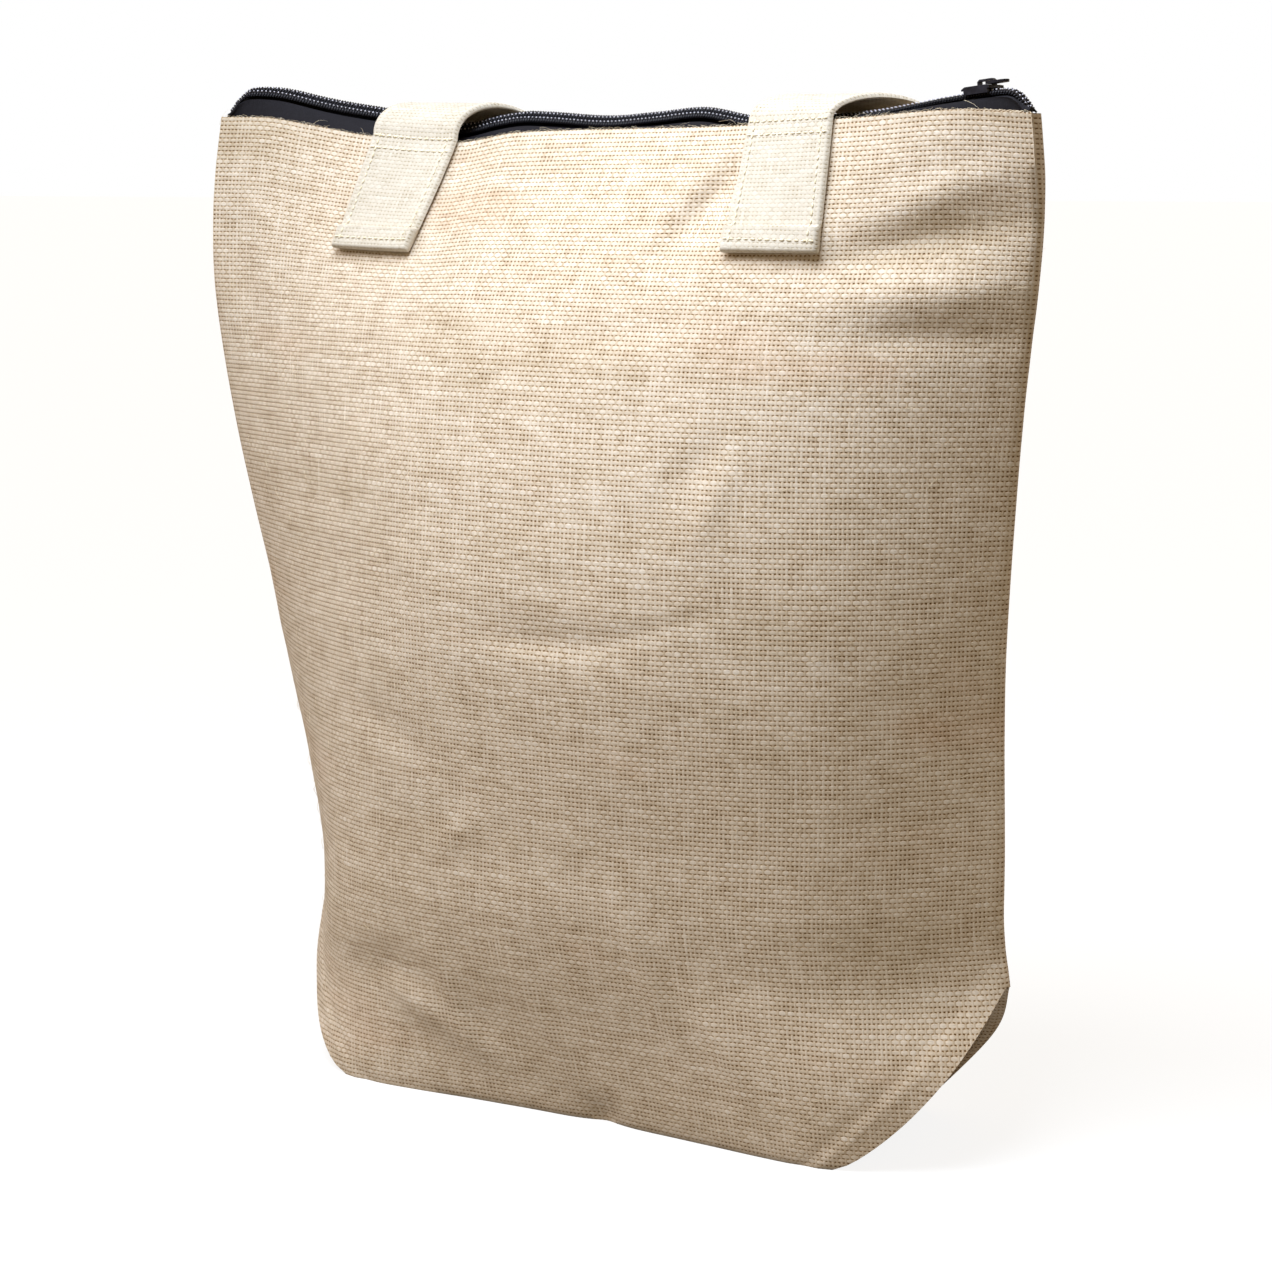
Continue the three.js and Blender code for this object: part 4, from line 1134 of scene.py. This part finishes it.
class TOTE_OT_handles(bpy.types.Operator):
    """Make the two webbing handles and their stitches"""
    bl_idname = "tote.handles"
    bl_label = "Webbing handles"

    def execute(self, context):
        settings = context.scene.tote_handles
        webbing = cotton_webbing()
        # Spun cotton: a matt thread, a little warmer than the webbing
        thread = satin("cotton sewing thread", "#D9CBA8", settings.thread, 0.8, 900)
        tree = along_tree()
        for name, face, loop, out in (
            ("front", front, FRONT_LOOP, (0.1, -1.0, 0.1)),
            ("back", back, BACK_LOOP, (0.0, 1.0, 0.1)),
        ):
            lines, tail = handle_lines(face, loop)
            strap = make_piece(f"webbing_{name}", *webbing_mesh(lines, face), webbing)
            finish_piece(strap, "webbing", f"handle_{name}")
            rows = stitch_rows(lines, tail, np.array(out))
            source = line_object("stitch_lines", rows, [np.tile(out, (len(row), 1)) for row in rows])
            shape = bead_shape("stitch_shape", 2.1, 1.0, 0.9)
            stitches = made_by_nodes(f"stitches_{name}", source, shape, tree, thread,
                                     Pitch=settings.stitch_pitch, Unevenness=0.12, Turn=0.12, Seed=SEED)
            finish_piece(stitches, "webbing")
        return {"FINISHED"}


class TOTE_OT_zip(bpy.types.Operator):
    """Make the zip: its tapes, its coil and its slider"""
    bl_idname = "tote.zip"
    bl_label = "Zip"

    def execute(self, context):
        settings = context.scene.tote_zip
        cloth = zip_tape_cloth(settings)
        # Nylon wire, nearly black with a dull gloss
        nylon = satin("black nylon coil", "#0D0C11", "#1A191F", 0.45, 600)
        # Filament thread, with little gloss, that shows as dots between the turns. Its pale grey is partly the
        # thread's own and partly painted highlight, standing in for the coil's glints
        thread = satin("pale thread with painted glints", "#A5A3AB", "#D5D3DB", 0.6, 900)
        # Enamel on cast zinc: smooth and black, with small clear lights on its edges
        enamel = satin("black enamel", "#121116", "#201F26", 0.32, 300)
        for name, face, side in (("front", front, -1), ("back", back, 1)):
            tape = make_piece(f"tape_{name}", *tape_sheet(face, side), cloth)
            finish_piece(tape, "tape", f"zip_tape_{name}")

        # The coil: a low core, and on each side a row of turns with a line of pale sewing thread on it, which
        # is partly painted highlight for the coil's glints
        across, facing, ridge = ridge_line(np.linspace(-CHAIN_REACH, CHAIN_REACH, CHAIN_STEPS + 1))
        core = make_piece("coil_core", *core_mesh(across, facing, ridge), None, nylon)
        finish_piece(core, "teeth", "zip_chain")
        tree = along_tree()
        pitch = settings.tooth_pitch
        for name, material, beside, over, sizes, sides, spacing, uneven, turn in (
            ("turns", nylon, 1.75, 0.35, (1.15, 3.3, 1.7), 8, pitch, 0.03, 0.02),
            # The pale seam beads: partly real thread, partly painted highlight for the coil's glints
            ("seams", thread, 1.3, 1.4, (0.7, 0.8, 0.7), 6, pitch * 1.5, 0.1, 0.1),
        ):
            rows = [ridge + across * side * beside + facing * over for side in (-1, 1)]
            source = line_object(f"{name}_lines", rows, [facing, facing])
            shape = bead_shape(f"{name}_shape", *sizes, sides=sides)
            beads = made_by_nodes(f"coil_{name}", source, shape, tree, material,
                                  Pitch=spacing, Unevenness=uneven, Turn=turn, Seed=SEED)
            finish_piece(beads, "teeth")

        # The cast slider and its pull get welded corners and soft edges
        for node, name, edge in (("zip_slider", "slider", 0.00035), ("zip_pull", "pull", 0.0003)):
            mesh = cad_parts[node].data.copy()
            mesh.transform(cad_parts[node].matrix_world)
            mesh.materials.clear()
            mesh.materials.append(enamel)
            piece = add_object(name, mesh)
            weld = piece.modifiers.new("weld", "WELD")
            weld.merge_threshold = 0.00001
            bevel = piece.modifiers.new("bevel", "BEVEL")
            bevel.width, bevel.segments, bevel.limit_method = edge, 2, "ANGLE"
            bevel.angle_limit = radians(35)
            finish_piece(piece, "slider", node)
        return {"FINISHED"}


class TOTE_OT_fibres(bpy.types.Operator):
    """Strew loose jute fibres over the cloth and along the hem"""
    bl_idname = "tote.fibres"
    bl_label = "Loose fibres"

    def execute(self, context):
        # Single fibres of the same jute: straw coloured and matt
        pale = satin("loose jute fibre", "#CDB892", "#F2E6CB", 0.8, 500)
        ground = Sheet()
        spots, ups = np.meshgrid(np.linspace(-0.99, 0.99, 41), np.linspace(4, PANEL_HEIGHT - 2, 46))
        along = spots * half_reach(ups)
        places = np.stack([along, ups], -1)
        ground.grid(ground.add(front(along, ups, front_detail(along, ups))), places)
        ground.grid(ground.add(back(along, ups, back_detail(along, ups))), places, flip=True)
        source = make_piece("fibre_ground", ground.points, np.vstack(ground.quads).tolist(), None, pale)
        shape = fibre_shape("fibre_shape", 5.5, 0.13, 0.8)
        strewn = made_by_nodes("fibres_body", source, shape, scatter_tree(), pale,
                               Density=6000.0, Unevenness=0.5, Lift=0.15, Seed=SEED)
        finish_piece(strewn, "jute")

        # Short fuzz all along the hem's edge, and a few long strays
        along = np.linspace(2 - HALF_WIDTH, HALF_WIDTH - 2, 120)
        hem = front(along, np.full(len(along), PANEL_HEIGHT - 0.5)) + np.array([0, 0.6, 0.2])
        ways = np.tile([0.0, -1.0, 0.3], (len(along), 1))
        tree = along_tree()
        for name, length, pitch in (("fuzz", 2.4, 0.0006), ("strays", 7.0, 0.023)):
            shape = fibre_shape("hem_fibre_shape", length, 0.11, length / 6)
            fuzz = made_by_nodes(f"fibres_{name}", line_object("hem_line", [hem], [ways]), shape, tree, pale,
                                 Pitch=pitch, Unevenness=0.6, Turn=0.9, Seed=SEED + 1)
            finish_piece(fuzz, "jute")
        return {"FINISHED"}


class TOTE_OT_stage(bpy.types.Operator):
    """Set the pale floor, the soft lights and the camera"""
    bl_idname = "tote.stage"
    bl_label = "Stage"

    def execute(self, context):
        settings = context.scene.tote_stage
        scene = context.scene
        corners = [(x * FLOOR_REACH, y * FLOOR_REACH, 0) for x, y in ((-1, -1), (1, -1), (1, 1), (-1, 1))]
        mesh = bpy.data.meshes.new("floor")
        mesh.from_pydata(corners, [], [(0, 1, 2, 3)])
        # Matt paint that glows a little to the eye, so its shadows stay light, and throws little light back
        material, tree, shader = new_material("matt white floor")
        seen = add(tree, "ShaderNodeLightPath").outputs["Is Camera Ray"]
        sources = {"Factor": seen, COLOUR_A: linear("#A09C96"), COLOUR_B: linear("#808080")}
        shade = add(tree, MIX, sources, **PLAIN).outputs[COLOUR_OUT]
        glow = add(tree, MATH, (seen, 0.85), operation="MULTIPLY")
        feed(tree, shader, {"Base Color": shade, "Emission Strength": glow,
                            "Emission Color": linear("#FFFFFF"), "Roughness": 0.9})
        mesh.materials.append(material)
        add_object("floor", mesh)

        # The sky lights the bag with a weak warm glow and is seen as plain white
        world = bpy.data.worlds.new("pale studio")
        world.use_nodes = True
        tree = world.node_tree
        warm = feed(tree, tree.nodes["Background"], {"Color": linear("#FFDA8E"), "Strength": settings.sky})
        white = add(tree, "ShaderNodeBackground", {"Color": linear("#FFFFFF"), "Strength": 1.0})
        seen = add(tree, "ShaderNodeLightPath").outputs["Is Camera Ray"]
        both = add(tree, "ShaderNodeMixShader", (seen, warm, white))
        feed(tree, tree.nodes["World Output"], {"Surface": both})
        scene.world = world

        powers = {"daylight": settings.key, "back_light": 0.5 * settings.key, "lamp": settings.fill}
        for name, kind, place, target, size, colour in LIGHTS:
            light = bpy.data.lights.new(name, kind)
            light.energy, light.color = powers[name], linear(colour)[:3]
            setattr(light, "angle" if kind == "SUN" else "size", size)
            lamp = add_object(name, light)
            lamp.location = place
            lamp.rotation_euler = (Vector(target) - Vector(place)).to_track_quat("-Z", "Y").to_euler()

        camera = bpy.data.cameras.new("camera")
        camera.lens, camera.sensor_width, camera.clip_start = CAMERA_LENS, CAMERA_SENSOR, CAMERA_NEAR
        eye = add_object("camera", camera)
        eye.location = CAMERA_PLACE
        eye.rotation_euler = (CAMERA_TILT, 0, CAMERA_TURN)
        scene.camera = eye
        scene.view_settings.view_transform = "Standard"
        return {"FINISHED"}


OPERATORS = (TOTE_OT_body, TOTE_OT_handles, TOTE_OT_zip, TOTE_OT_fibres, TOTE_OT_stage)
GROUPS = {
    "tote_cloth": ClothSettings, "tote_handles": HandleSettings,
    "tote_zip": ZipSettings, "tote_stage": StageSettings,
}


class TOTE_PT_panel(bpy.types.Panel):
    """Lists the bag's sizes, colours and pieces"""
    bl_label = "Tote bag"
    bl_idname = "TOTE_PT_panel"
    bl_space_type = "VIEW_3D"
    bl_region_type = "UI"
    bl_category = "Tote bag"

    def draw(self, context):
        for group in GROUPS:
            settings = getattr(context.scene, group)
            for name in settings.__annotations__:
                self.layout.prop(settings, name)
        for operator in OPERATORS:
            self.layout.operator(operator.bl_idname)


CLASSES = (*GROUPS.values(), *OPERATORS, TOTE_PT_panel)


def register():
    """Registers the settings, the operators and the panel."""
    for group in CLASSES:
        bpy.utils.register_class(group)
    for name, group in GROUPS.items():
        setattr(bpy.types.Scene, name, bpy.props.PointerProperty(type=group))


def unregister():
    """Takes them away again."""
    for name in GROUPS:
        delattr(bpy.types.Scene, name)
    for group in reversed(CLASSES):
        bpy.utils.unregister_class(group)


def main():
    """Makes the bag and its stage."""
    register()
    bpy.ops.tote.body()
    bpy.ops.tote.handles()
    bpy.ops.tote.zip()
    bpy.ops.tote.fibres()
    bpy.ops.tote.stage()


if __name__ == "__main__":
    main()
